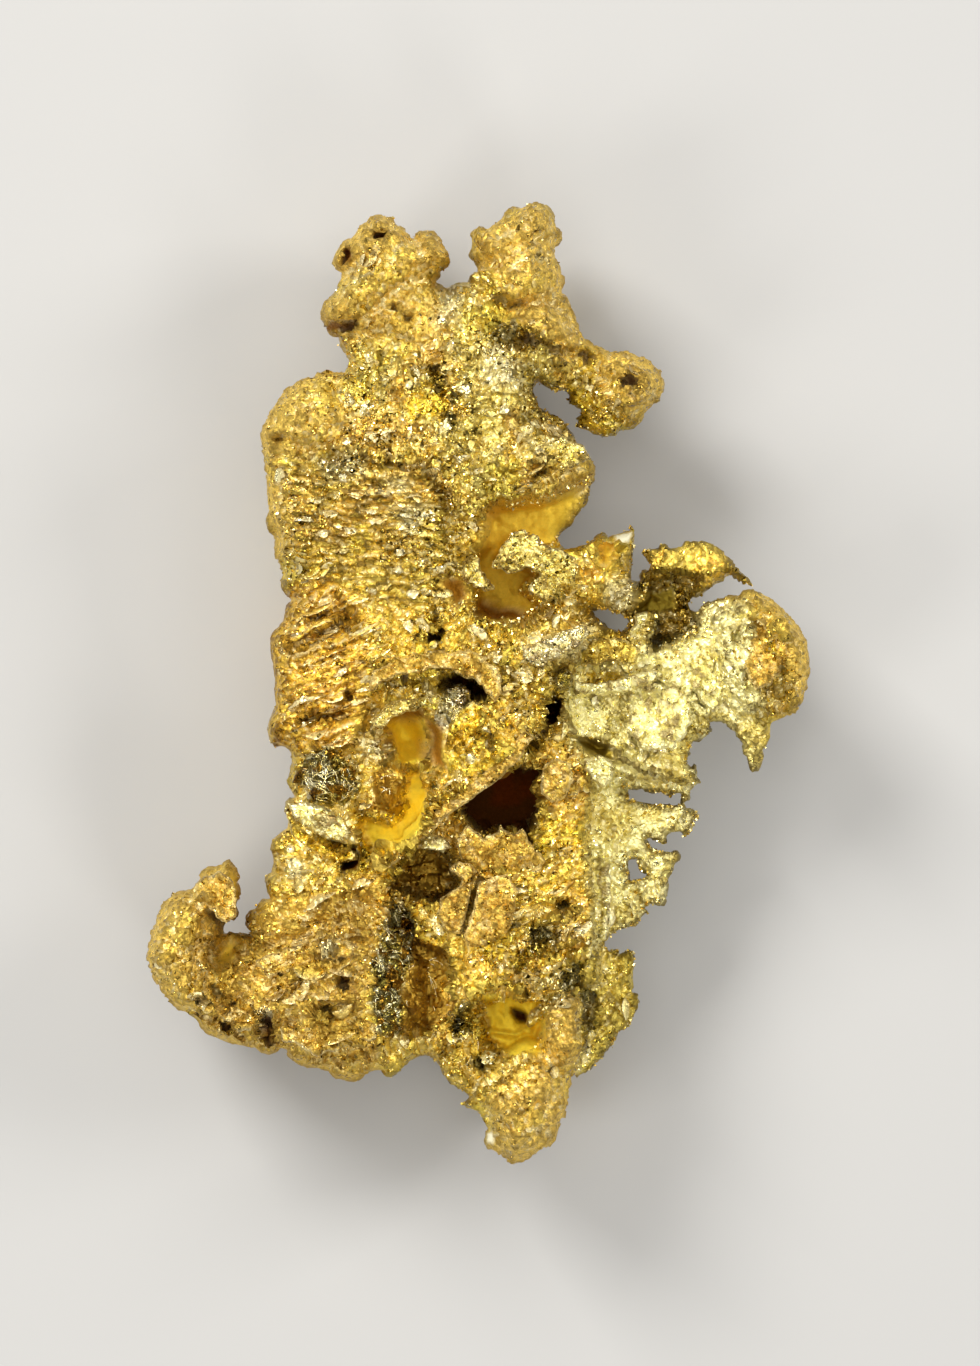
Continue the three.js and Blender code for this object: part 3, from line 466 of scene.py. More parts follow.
CRACKS = [
    (2.5, 1.2, [(433, 609), (432, 632)]), (5, 2.2, [(328, 326), (352, 322)]),
    (3.5, 1.0, [(521, 343), (540, 349), (548, 358), (573, 358), (589, 361)]),
    (5, 0.6, [(498, 302), (520, 309), (552, 303)]),
    (6, 0.4, [(284, 443), (312, 453), (345, 457)]), (3, 0.9, [(306, 716), (328, 711), (347, 707)]),
    (3, 1.2, [(162, 990), (185, 1005), (212, 1009), (230, 1021)]), (3, 0.9, [(329, 1004), (331, 1022)]),
    (3, 1.0, [(476, 880), (469, 906), (462, 932)]), (4, 1.8, [(437, 894), (447, 891), (459, 894)]),
    (3, 0.8, [(574, 990), (575, 1030), (572, 1074)]), (4, 0.7, [(706, 662), (709, 684), (716, 704)]),
    (4, 0.6, [(698, 668), (699, 690), (704, 706)]), (3, 0.5, [(714, 660), (717, 680)]),
    (3, 0.9, [(384, 763), (408, 766), (424, 760)]), (3, 0.8, [(260, 1040), (275, 1030), (284, 1040)]),
    (3, 0.7, [(583, 992), (584, 1030)]), (2.5, 0.6, [(589, 994), (590, 1028)]),
    (6, 0.9, [(567, 735), (592, 745), (616, 759)]),
    (5, 1.8, [(527, 750), (543, 724), (560, 698)]), (2.5, 0.9, [(292, 808), (304, 827), (334, 843),
                                                                (357, 848)]),
    (4, 0.9, [(218, 981), (254, 997), (276, 1020), (284, 1044)]),
    (3, 1.0, [(198, 1010), (237, 1026), (254, 1044)]),
]
LIPS = {
    "plate": (0.9, 26, [(514, 868), (476, 870), (456, 886), (440, 902)]),
    "hole ledge": (0.9, 20, [(542, 846), (522, 834), (505, 838), (488, 840), (468, 822)]),
    "lower ledge": (1.1, 26, [(284, 1034), (312, 1050), (338, 1043), (374, 1032)]),
    "upper folds": (0.8, 20, [(270, 966), (299, 956), (334, 948), (352, 950)]),
    "middle folds": (0.8, 22, [(296, 1018), (325, 1001), (360, 994)]),
    "top folds": (0.7, 18, [(308, 937), (341, 932), (378, 920)]),
    "flap of the curl": (1.3, 24, [(200, 888), (213, 905), (234, 922)]),
    "edge of the tip": (0.9, 22, [(534, 1048), (514, 1068), (484, 1086), (456, 1102)]),
    "over the cavity": (0.8, 22, [(392, 672), (420, 677), (456, 677), (494, 703)]),
    "over the bowl": (0.9, 20, [(376, 716), (396, 704), (418, 701), (450, 702)]),
    "over the white bands": (0.6, 18, [(522, 660), (552, 646), (584, 640)]),
    "over the neck": (0.6, 16, [(360, 330), (392, 326), (420, 338)]),
    "left of the hole": (0.7, 16, [(440, 872), (466, 848), (480, 846)]),
    "low centre": (0.8, 18, [(586, 902), (548, 915), (512, 936), (486, 948)]),
    "lower centre": (0.7, 16, [(584, 950), (556, 958), (530, 975), (500, 982)]),
}
print(sum(len(group) for group in KNOBS.values()), "knobs,", len(PITS), "pits and", len(CRACKS), "cracks")

# %% [markdown]
# Real gold is rough at every scale. Three kinds of noise give that: smooth noise for lumps, flakes, where
# each cell of space holds one flat that leans its own way, and the borders of such cells for cracks.

# %% Noise
MIXERS = (374761393, 668265263, 1440662683, 1013904223)
STIRRERS = (1274126177, 2246822519)
WHOLE_WORD = 0xFFFFFFFF
FRACTION = 0xFFFFFF
FLAKE_STEP = 0.6


def scattered(i, j, k, seed):
    """A repeatable number from 0 to 1 for each triple of whole numbers, by mixing their bits."""
    n = i * MIXERS[0] + j * MIXERS[1] + k * MIXERS[2] + seed * MIXERS[3]
    n = (n ^ (n >> 13)) * STIRRERS[0] & WHOLE_WORD
    n = (n ^ (n >> 15)) * STIRRERS[1] & WHOLE_WORD
    return ((n ^ (n >> 16)) & FRACTION) / FRACTION


def smooth_noise(p, size, seed):
    """Noise from -1 to 1 with bumps one size apart: scattered values at lattice points, smoothly mixed."""
    q = p / size
    base = np.floor(q).astype(np.int64)
    t = q - base
    t = t * t * (3 - 2 * t)
    total = np.zeros(len(p))
    for corner in np.ndindex(2, 2, 2):
        weight = np.prod(np.where(corner, t, 1 - t), axis=1)
        total += weight * scattered(*(base + corner).T, seed)
    return 2 * total - 1


def cell_offsets(p, size, seed):
    """For each of the 27 cells round every point: the cell, and the offset from its scattered seed point."""
    q = p / size
    base = np.floor(q).astype(np.int64)
    for shift in np.ndindex(3, 3, 3):
        cell = base + shift - 1
        yield cell, q - cell - np.stack([scattered(*cell.T, seed + k) for k in range(3)], axis=1)


def flakes(p, size, seed):
    """Tilted flakes with a step between each two: the offset from the nearest seed point times its tilt."""
    nearest = np.full(len(p), np.inf)
    height = np.zeros(len(p))
    for cell, offset in cell_offsets(p, size, seed):
        distance = (offset**2).sum(axis=1)
        tilt = [2 * scattered(*cell.T, seed + 3 + k) - 1 for k in range(3)]
        step = FLAKE_STEP * scattered(*cell.T, seed + 6)
        lean = (offset * np.stack(tilt, axis=1)).sum(axis=1) + step - FLAKE_STEP / 2
        closer = distance < nearest
        nearest = np.where(closer, distance, nearest)
        height = np.where(closer, lean, height)
    return height * size


def turned(p, degrees, stretch):
    """Places whose first axis climbs to the right by an angle and is shrunk, so what is there is long."""
    angle = np.radians(degrees)
    along = (p[:, 0] * np.cos(angle) - p[:, 1] * np.sin(angle)) / stretch
    across = p[:, 0] * np.sin(angle) + p[:, 1] * np.cos(angle)
    return np.stack([along, across, p[:, 2]], axis=1)


def cell_borders(p, size, seed):
    """Distance, in pixels, by which the second nearest seed point is farther than the nearest."""
    nearest = np.full(len(p), np.inf)
    second = np.full(len(p), np.inf)
    for _, offset in cell_offsets(p, size, seed):
        distance = np.linalg.norm(offset, axis=1)
        second = np.minimum(second, np.maximum(distance, nearest))
        nearest = np.minimum(nearest, distance)
    return (second - nearest) * size


trial = np.stack([np.arange(1000.0)] * 3, axis=1)
for noise in (smooth_noise, flakes, cell_borders):
    heights = noise(trial, 7, 1)
    print(noise.__name__, "runs from", round(float(heights.min()), 2), "to", round(float(heights.max()), 2))

# %% [markdown]
# The relief asks every form in turn what it does at a place, and takes the highest or the lowest. Two
# rounded forms would meet in a sharp crease, so the larger of two heights is softened where they are
# nearly equal.

# %% Steps of the relief
BLEND = 0.5
LIP_DROP = 3
LIP_REACH = 12
LIP_TROUGH = 0.5
LIP_ENDS = 0.2
WARPS = ((44, 6.0, 81), (15, 3.0, 85))


def warped(x, y):
    """Places moved about by noise at two sizes, so that no edge or ring of a form stays even."""
    flat = np.stack([x.ravel(), y.ravel(), np.zeros(x.size)], axis=1)
    moved_x = x.copy()
    moved_y = y.copy()
    for size, reach, seed in WARPS:
        moved_x += reach * smooth_noise(flat, size, seed).reshape(x.shape)
        moved_y += reach * smooth_noise(flat, size, seed + 1).reshape(x.shape)
    return moved_x, moved_y


def soft_max(a, b):
    """The larger of two heights, rounded off where they are nearly equal."""
    t = np.clip(0.5 + (a - b) / (2 * BLEND), 0, 1)
    return b + (a - b) * t + BLEND * t * (1 - t)


def soft_min(a, b):
    """The smaller of two heights, rounded off where they are nearly equal."""
    return -soft_max(-a, -b)


def dome(form, x, y):
    """Height from 0 at the rim of the form's ellipse to 1 at its centre, and where that ellipse is."""
    turn = np.radians(form["turn"])
    dx = x - form["at"][0]
    dy = form["at"][1] - y
    along = (dx * np.cos(turn) + dy * np.sin(turn)) / form["radii"][0]
    across = (dy * np.cos(turn) - dx * np.sin(turn)) / form["radii"][1]
    q = along**2 + across**2
    return np.sqrt(np.clip(1 - q, 0, 1)), q < 1


def round_fold(x, y, half, path):
    """1 on a path, falling to 0 at half a width from it, as a half circle does."""
    across = nearest_on_path(x, y, path)[0] / half
    return np.sqrt(np.clip(1 - across**2, 0, 1))


def beside_path(x, y, path):
    """Distance to a path, positive on its left, negative on its right, and the share of its length there."""
    path = np.asarray(path, dtype=float)
    lengths = np.hypot(*np.diff(path, axis=0).T)
    travelled = np.concatenate([[0], np.cumsum(lengths)]) / lengths.sum()
    nearest = np.full(x.shape, np.inf)
    signed = np.zeros(x.shape)
    share = np.zeros(x.shape)
    for (ax, ay), (bx, by), begun, ended in zip(path[:-1], path[1:], travelled[:-1], travelled[1:]):
        along = ((x - ax) * (bx - ax) + (y - ay) * (by - ay)) / ((bx - ax) ** 2 + (by - ay) ** 2)
        along = np.clip(along, 0, 1)
        distance = np.hypot(x - ax - along * (bx - ax), y - ay - along * (by - ay))
        on_left = (bx - ax) * (y - ay) < (by - ay) * (x - ax)
        closer = distance < nearest
        nearest = np.where(closer, distance, nearest)
        signed = np.where(closer, np.where(on_left, distance, -distance), signed)
        share = np.where(closer, begun + along * (ended - begun), share)
    return signed, share


def lip(x, y, width, path):
    """An overlapping edge: a slow rise to 1 left of the path, a sheer drop and a trough right of it."""
    aside, share = beside_path(x, y, path)
    rise = np.clip(1 - aside / width, 0, 1) ** 2
    drop = 1 - smoothstep(0, LIP_DROP, -aside)
    trough = LIP_TROUGH * np.sin(np.pi * np.clip(-aside / LIP_REACH, 0, 1))
    ends = smoothstep(0, LIP_ENDS, share) * smoothstep(1, 1 - LIP_ENDS, share)
    return ends * np.where(aside > 0, rise, drop - trough)


print("edges are moved by up to", sum(reach for _, reach, _ in WARPS), "pixels")


# %% The relief as one function of place
def sunk(x, y):
    """How far pits and cracks sink the front at each place, in millimetres."""
    total = np.zeros(x.shape)
    for column, row, long, short, turn, depth in PITS:
        total += depth * dome({"at": (column, row), "radii": (long, short), "turn": turn}, x, y)[0]
    for half, depth, path in CRACKS:
        total += depth * round_fold(x, y, half, path)
    return total


def relief(x, y):
    """Front and back heights in millimetres: layers, lumps, ridges and hollows in turn, then small forms."""
    x, y = warped(x, y)
    front = np.full(x.shape, BODY_FRONT)
    back = np.full(x.shape, BODY_BACK)
    for form in LAYERS.values():
        share = smoothstep(-form["soft"] / 2, form["soft"] / 2, depth_inside(x, y, form["edge"]))
        front += (form["front"] - front) * share
        back += (form["back"] - back) * share
    for form in LUMPS.values():
        rise, covered = dome(form, x, y)
        lump = form["rim"] + (form["end"] - form["rim"]) * rise
        front = np.where(covered, soft_max(front, lump), front)
    for form in RIDGES.values():
        rise = round_fold(x, y, form["half"], form["path"])
        fold = form["rim"] + (form["top"] - form["rim"]) * rise
        front = np.where(rise > 0, soft_max(front, fold), front)
    for form in HOLLOWS.values():
        sink, covered = dome(form, x, y)
        bowl = form["rim"] + (form["end"] - form["rim"]) * sink
        front = np.where(covered, soft_min(front, bowl), front)
    for knobs in KNOBS.values():
        for column, row, radius in knobs:
            bump = {"at": (column, row), "radii": (radius, radius), "turn": 0}
            front += KNOB_RISE * radius / PX_PER_MM * dome(bump, x, y)[0] ** 2
    for wrinkles in WRINKLES.values():
        for half, height, path in wrinkles:
            front += height * round_fold(x, y, half, path)
    for height, width, path in LIPS.values():
        front += height * lip(x, y, width, path)
    front -= sunk(x, y)
    for form in FEET.values():
        reach, covered = dome(form, x, y)
        foot = form["rim"] + (form["end"] - form["rim"]) * reach
        back = np.where(covered, soft_min(back, foot), back)
    return front, back


front, back = relief(*np.array(LUMPS["shoulder"]["at"], dtype=float)[:, None])
thick = front[0] - back[0]
print("the shoulder is", round(float(front[0]), 1), "mm high and", round(float(thick), 1), "mm thick")

# %% [markdown]
# The skin is one sheet of threads for the front and one for the back, sewn together along the outline. A
# plain square net would leave steep walls with hardly a thread, so the net is relaxed first: each crossing
# is drawn towards its longer threads, as if they were springs, until the walls have their share. The edge is
# rounded like a quarter of an ellipse before that, so the outer walls get their threads too.

# %% The net inside the outline
NET = 2.05


def cut_net(outline, gaps, step):
    """A square net cut to an outline less its gaps: its lines, its crossings drawn to the rim, their depth
    inside the outline, the quads kept, and how many of them meet at each crossing."""
    columns = np.arange(outline[:, 0].min() - 2 * step, outline[:, 0].max() + 2 * step, step)
    rows = np.arange(outline[:, 1].min() - 2 * step, outline[:, 1].max() + 2 * step, step)
    net_x, net_y = np.meshgrid(columns, rows)
    edge_distance = np.full(net_x.shape, np.inf)
    edge_x = np.zeros(net_x.shape)
    edge_y = np.zeros(net_x.shape)
    solid = is_inside(net_x, net_y, outline)
    for loop in [outline] + gaps:
        distance, near_x, near_y = nearest_on_path(net_x, net_y, np.vstack([loop, loop[:1]]))
        closer = distance < edge_distance
        edge_distance = np.where(closer, distance, edge_distance)
        edge_x = np.where(closer, near_x, edge_x)
        edge_y = np.where(closer, near_y, edge_y)
    for gap in gaps:
        solid &= ~is_inside(net_x, net_y, gap)
    edge_depth = np.where(solid, edge_distance, -edge_distance)
    kept = edge_depth > -step / 2
    quads = kept[:-1, :-1] & kept[1:, :-1] & kept[1:, 1:] & kept[:-1, 1:]
    quads_round = np.zeros(kept.shape, dtype=int)
    for row_shift in (0, 1):
        for column_shift in (0, 1):
            rows_met = slice(row_shift, row_shift + quads.shape[0])
            columns_met = slice(column_shift, column_shift + quads.shape[1])
            quads_round[rows_met, columns_met] += quads
    rim = (quads_round > 0) & (quads_round < 4)
    net_x[rim] = edge_x[rim]
    net_y[rim] = edge_y[rim]
    return columns, rows, net_x, net_y, edge_depth, quads, quads_round


columns, rows, net_x, net_y, edge_depth, quads, quads_round = cut_net(OUTLINE, GAPS, NET)
inner = quads_round == 4
rim = (quads_round > 0) & ~inner
print(int(quads.sum()), "quads in the net,", int(rim.sum()), "crossings on the rim")

# %% Relaxing the net
RELAX_ROUNDS = 120
RELAX_STEP = 0.5
LEAST_LEAF = 0.9
EDGE_ROUNDING = 0.8
WIDEST_ROUNDING = 36
LAST_CELL = 1.001
LEAST_DEPTH = 0.2


def sampled(field, x, y):
    """A field known on the square net, read between its crossings as a mix of the four round each point."""
    c = np.clip((x - columns[0]) / NET, 0, len(columns) - LAST_CELL)
    r = np.clip((y - rows[0]) / NET, 0, len(rows) - LAST_CELL)
    c0 = c.astype(int)
    r0 = r.astype(int)
    u = c - c0
    v = r - r0
    upper = field[r0, c0] * (1 - u) + field[r0, c0 + 1] * u
    lower = field[r0 + 1, c0] * (1 - u) + field[r0 + 1, c0 + 1] * u
    return upper * (1 - v) + lower * v


def levels(x, y, depth):
    """The height midway between front and back, and how far each of them is from it: half the thickness,
    less towards the rim, where the edge is rounded like a quarter of an ellipse."""
    front, back = relief(x, y)
    half = np.maximum(front - back, LEAST_LEAF) / 2
    share = np.clip(depth / np.minimum(EDGE_ROUNDING * half * PX_PER_MM, WIDEST_ROUNDING), 0, 1)
    return (front - half) * PX_PER_MM, half * np.sqrt(1 - (1 - share) ** 2) * PX_PER_MM


square_front = np.sum(levels(*np.meshgrid(columns, rows), edge_depth), axis=0)
for _ in range(RELAX_ROUNDS):
    height = sampled(square_front, net_x, net_y)
    total = np.zeros(net_x.shape)
    pull_x = np.zeros(net_x.shape)
    pull_y = np.zeros(net_x.shape)
    for axis, shift in ((0, 1), (0, -1), (1, 1), (1, -1)):
        dx = np.roll(net_x, shift, axis) - net_x
        dy = np.roll(net_y, shift, axis) - net_y
        dz = np.roll(height, shift, axis) - height
        thread = np.sqrt(dx**2 + dy**2 + dz**2)
        total += thread
        pull_x += thread * dx
        pull_y += thread * dy
    net_x[inner] += RELAX_STEP * (pull_x / total)[inner]
    net_y[inner] += RELAX_STEP * (pull_y / total)[inner]
moved = np.abs(net_x - np.meshgrid(columns, rows)[0])[inner]
print("crossings moved by up to", round(float(moved.max()), 1), "pixels")

# %% Sewing front to back
x = net_x[quads_round > 0]
y = net_y[quads_round > 0]
on_rim = rim[quads_round > 0]
depth = np.where(on_rim, 0, np.maximum(sampled(edge_depth, x, y), LEAST_DEPTH * NET))
middle, rounding = levels(x, y, depth)


def ground_at(x, y):
    """The height of the smooth front in pixels at any place, rounded edge and all."""
    return np.sum(levels(x, y, np.maximum(sampled(edge_depth, x, y), 0)), axis=0)


def sewn(x, y, top, bottom, quads, quads_round):
    """A closed skin on a cut net: a sheet through the tops, one through the bottoms, and one shared rim."""
    used = quads_round > 0
    inside = (quads_round == 4)[used]
    upper = np.full(quads_round.shape, -1)
    upper[used] = np.arange(len(x))
    lower = upper.copy()
    lower[quads_round == 4] = len(x) + np.arange(int(inside.sum()))
    points = np.vstack([np.stack([x, y, top], axis=1), np.stack([x, y, bottom], axis=1)[inside]])
    sheets = []
    for index in (upper, lower):
        corners = [index[:-1, :-1], index[1:, :-1], index[1:, 1:], index[:-1, 1:]]
        sheets.append(np.stack([c[quads] for c in corners], axis=1))
    return points, np.vstack([sheets[0], sheets[1][:, ::-1]])


points, faces = sewn(x, y, middle + rounding, np.maximum(middle - rounding, 0), quads, quads_round)
is_front = np.arange(len(points)) < len(x)
print(len(points), "points and", 2 * len(faces), "triangles in the skin")

# %% Normals
TINY = 1e-9


def gathered(values, faces, count):
    """For each point, the sum over the faces round it of one row of values for each face."""
    total = np.zeros((count, 3))
    for corner in range(faces.shape[1]):
        for axis in range(3):
            total[:, axis] += np.bincount(faces[:, corner], values[:, axis], count)
    return total


def normals_of(points, faces):
    """Unit normals at the points: the sum of the crossed diagonals of the faces round each."""
    one_way = points[faces[:, 2]] - points[faces[:, 0]]
    other_way = points[faces[:, 3]] - points[faces[:, 1]]
    total = gathered(np.cross(one_way, other_way), faces, len(points))
    return total / np.maximum(np.linalg.norm(total, axis=1), TINY)[:, None]


upright = normals_of(points, faces)[is_front, 2].mean()
print("the front's normals point up by", round(float(upright), 2), "on average")


# %% [markdown]
# The finish changes over the piece: sparkling hackly faces, frosted tan lumps, pale leaves, smooth yellow
# hollows, dark mirrors, brown stains with painted shade in the deep holes, and painted highlights. Each has
# its places as outlines with a soft edge, a colour for its mirror, a roughness, and a grain, which says how
# strongly its fine facets lean.

# %% Regions of the finish
def linear(red, green, blue):
    """A colour picked on the screen, from 0 to 255, as the linear colour of a shader, by the sRGB curve."""
    c = np.array([red, green, blue]) / 255
    return np.where(c <= 0.04045, c / 12.92, ((c + 0.055) / 1.055) ** 2.4)


def finish(colour, roughness, grain, sparkle, soft, edges):
    """A finish: colour, roughness, lean of its facets, share of mirror facets, soft width and outlines."""
    return {"colour": linear(*colour), "marks": (roughness, grain, sparkle), "soft": soft, "edges": edges}


HACKLY = finish((242, 212, 96), 0.45, 0.42, 0.24, 0, [])
FINISHES = {
    "pale": finish((242, 223, 130), 0.42, 0.55, 0.36, 30, [
        [(352, 290), (470, 282), (500, 332), (560, 352), (575, 440), (596, 460), (480, 508), (440, 470),
         (350, 455)],
    ]),
    "frosted": finish((242, 208, 102), 0.58, 0.74, 0.12, 22, [
        [(326, 270), (340, 208), (400, 206), (460, 230), (456, 262), (400, 255), (345, 290)],
        [(466, 225), (535, 196), (572, 235), (570, 262), (470, 268)],
        [(348, 330), (362, 296), (420, 288), (438, 326), (420, 350), (372, 352)],
        [(140, 930), (170, 880), (215, 858), (252, 858), (252, 920), (232, 975), (200, 1010), (140, 1000)],
        [(255, 365), (345, 368), (352, 400), (345, 440), (300, 452), (255, 462)],
        [(316, 330), (322, 296), (360, 280), (400, 245), (445, 238), (452, 262), (425, 278), (390, 312),
         (360, 330)],
        [(498, 262), (568, 262), (590, 340), (660, 345), (672, 400), (630, 432), (605, 405), (590, 362),
         (510, 338)],
        [(560, 462), (600, 455), (600, 480), (575, 520), (562, 505)],
        [(742, 588), (820, 600), (820, 720), (775, 722), (788, 690), (784, 640), (760, 612)],
        [(545, 995), (580, 995), (580, 1075), (560, 1170), (480, 1170), (500, 1080), (530, 1060)],
        [(440, 888), (470, 880), (512, 886), (508, 930), (470, 945), (445, 930)],
        [(262, 460), (284, 470), (286, 540), (276, 620), (262, 560)],
    ]),
    "tan": finish((232, 198, 92), 0.54, 0.62, 0.11, 20, [
        [(236, 938), (262, 900), (380, 880), (380, 950), (365, 1000), (390, 1090), (250, 1090), (180, 1030),
         (205, 1005), (230, 975)],
    ]),
    "bark": finish((240, 200, 80), 0.5, 0.45, 0.2, 24, [
        [(266, 590), (330, 580), (365, 610), (372, 680), (362, 745), (266, 760)],
    ]),
    "leaf": finish((254, 244, 176), 0.5, 0.45, 0.1, 14, [
        [(575, 640), (640, 640), (655, 610), (710, 600), (745, 600), (762, 660), (760, 770), (700, 800),
         (700, 910),
         (640, 1080), (575, 1080), (592, 900), (590, 780), (560, 730)],
    ]),
    "foot leaf": finish((228, 204, 96), 0.5, 0.5, 0.3, 14, [
        [(584, 948), (660, 940), (660, 1090), (574, 1090), (576, 1000)],
    ]),
    "flap": finish((250, 216, 100), 0.5, 0.4, 0.2, 8, [
        [(636, 540), (700, 530), (770, 570), (760, 595), (728, 580), (690, 600), (655, 570), (636, 568)],
    ]),
    # Partly painted shade: the second outline, under the belly of the right horn, is a shaded place painted
    # olive.
    "olive": finish((150, 132, 52), 0.35, 0.6, 0.6, 10, [
        [(632, 575), (672, 570), (694, 600), (700, 625), (660, 650), (648, 640), (652, 612), (632, 612)],
        [(500, 338), (530, 330), (545, 352), (520, 364), (496, 352)],
        [(530, 930), (556, 922), (560, 940), (536, 946)], [(516, 950), (534, 944), (530, 960), (516, 960)],
        [(556, 962), (578, 958), (580, 990), (560, 990)], [(554, 898), (572, 892), (574, 912), (556, 916)],
        [(448, 1005), (470, 1002), (474, 1034), (452, 1036)],
        [(424, 368), (440, 366), (446, 400), (430, 400)],
        [(480, 1056), (492, 1056), (492, 1070), (480, 1070)],
        [(577, 990), (591, 990), (591, 1032), (577, 1032)],
    ]),
    "mirror": finish((128, 114, 50), 0.24, 0.6, 0.4, 6, [
        [(395, 896), (408, 905), (416, 930), (414, 960), (404, 1000), (406, 1030), (380, 1028),
         (371, 990), (377, 950),
         (388, 925)],
        [(306, 756), (330, 746), (354, 760), (362, 786), (346, 806), (318, 802), (304, 784)],
    ]),
    "brown mirror": finish((174, 138, 52), 0.42, 0.35, 0.05, 9, [
        [(414, 925), (446, 950), (450, 1005), (432, 1026), (406, 1028), (404, 1000), (414, 960)],
        [(418, 838), (438, 850), (446, 866), (436, 892), (396, 890), (404, 862)],
        [(368, 776), (384, 766), (398, 778), (402, 800), (390, 818), (372, 812)],
        [(542, 766), (560, 760), (572, 776), (562, 798), (544, 798)],
    ]),
    "recess": finish((230, 196, 66), 0.6, 0.2, 0.0, 14, [
        [(486, 514), (560, 494), (585, 482), (585, 500), (560, 540), (556, 560), (520, 540), (500, 558),
         (535, 574), (520, 592), (545, 602), (520, 620), (490, 625), (474, 618), (470, 572)],
        [(222, 884), (236, 880), (238, 898), (226, 900)], [(222, 938), (238, 938), (238, 962), (222, 962)],
        [(596, 545), (614, 545), (614, 570), (597, 570)],
    ]),
    "amber": finish((252, 224, 68), 0.55, 0.15, 0.0, 10, [
        [(381, 712), (400, 702), (425, 704), (426, 750), (412, 768), (390, 762)],
        [(362, 816), (376, 824), (394, 824), (406, 802), (404, 778), (416, 770), (432, 782), (434, 800),
         (420, 826),
         (398, 844), (376, 850), (364, 838)],
        [(484, 1000), (516, 994), (546, 1000), (540, 1030), (534, 1052), (505, 1056), (488, 1040)],
    ]),
    "pod": finish((255, 244, 172), 0.42, 0.3, 0.1, 5, [
        [(293, 805), (310, 806), (335, 812), (354, 830), (360, 842), (340, 839), (318, 832), (302, 822)],
    ]),
    "groove": finish((150, 128, 44), 0.5, 0.2, 0.0, 9, [
        [(565, 730), (592, 738), (622, 757), (616, 768), (586, 754)],
        [(632, 588), (672, 584), (676, 606), (650, 616), (632, 612)],
    ]),
    "fan": finish((252, 220, 80), 0.35, 0.45, 0.3, 8, [
        [(446, 742), (456, 712), (478, 702), (484, 722), (478, 748), (458, 752)],
        [(580, 668), (620, 668), (622, 684), (584, 688)], [(290, 808), (302, 826), (320, 839), (340, 848),
         (358, 860), (336, 858), (310, 846), (294, 830)],
        [(405, 396), (446, 394), (448, 420), (412, 422)],
    ]),
    "grey": finish((222, 212, 170), 0.45, 0.6, 0.5, 6, [
        [(446, 692), (458, 685), (472, 694), (468, 716), (450, 722), (438, 732), (440, 712)],
        [(262, 1002), (274, 1002), (276, 1024), (264, 1024)],
    ]),
    # Painted highlight: pale patches where light glints off the faces.
    "painted highlight": finish((255, 242, 188), 0.4, 0.55, 0.35, 18, [
        [(310, 458), (368, 456), (372, 478), (330, 482)], [(390, 480), (412, 480), (412, 494), (392, 492)],
        [(394, 508), (426, 506), (428, 538), (400, 536)], [(480, 356), (512, 356), (522, 392), (484, 392)],
        [(528, 632), (560, 636), (592, 622), (582, 652), (540, 660)],
        [(366, 738), (386, 734), (388, 758), (368, 760)],
        [(632, 688), (668, 686), (672, 742), (634, 748)], [(324, 936), (350, 938), (348, 958), (326, 956)],
        [(290, 860), (308, 858), (308, 878), (292, 878)], [(528, 436), (590, 444), (580, 462), (530, 458)],
        [(434, 286), (466, 284), (462, 326), (436, 328)], [(606, 584), (632, 582), (630, 608), (606, 610)],
        [(420, 742), (432, 744), (430, 754), (420, 752)], [(544, 992), (560, 990), (562, 1004), (546, 1006)],
    ]),
    # Painted highlight: a near-white facet on the box crystal and on the bead.
    "painted highlight facet": finish((255, 250, 215), 0.4, 0.1, 0.0, 4, [
        [(610, 535), (634, 530), (631, 548), (622, 545)],
        [(483, 1131), (495, 1131), (494, 1142), (484, 1142)],
    ]),
    # Partly painted shade: the last outline darkens the top of the yellow bowl; the others are brown pockets.
    "brown pocket and bowl shade": finish((164, 112, 30), 0.6, 0.4, 0.1, 14, [
        [(474, 606), (500, 610), (520, 612), (515, 624), (476, 622)],
        [(427, 712), (446, 722), (446, 770), (428, 768)],
        [(446, 577), (467, 577), (466, 606), (448, 606)], [(383, 706), (427, 702), (426, 718), (384, 722)],
    ]),
    # Partly real brown stain, partly painted shade: the deep holes and pits in these outlines are painted
    # dark brown.
    "stained and shaded": finish((106, 60, 18), 0.8, 0.4, 0.0, 5, [
        LAYERS["dark hole"]["edge"],
        [(452, 678), (466, 676), (490, 690), (490, 702), (474, 698)],
        [(543, 720), (543, 706), (560, 695), (568, 700), (552, 722)],
        [(336, 852), (355, 850), (356, 868), (340, 868)],
        [(512, 1010), (524, 1010), (524, 1022), (512, 1022)],
        [(374, 232), (384, 232), (384, 239), (374, 239)],
        [(341, 249), (348, 249), (348, 265), (341, 265)],
    ]),
}


def region(x, y, outlines, soft):
    """1 inside any of the outlines, 0 outside, with an S over the soft width in pixels."""
    x, y = warped(x, y)
    depths = [depth_inside(x, y, edge) for edge in outlines]
    return smoothstep(-soft / 2, soft / 2, np.max(depths, axis=0))


print(len(FINISHES), "finishes besides the hackly one")

# %% Share of each finish
BOTH_SIDES = ("frosted", "tan", "leaf", "foot leaf", "flap", "bark")
RIM_FADE = 3
OLIVE_SHARPNESS = 0.8
GREY_SHARPNESS = 0.6

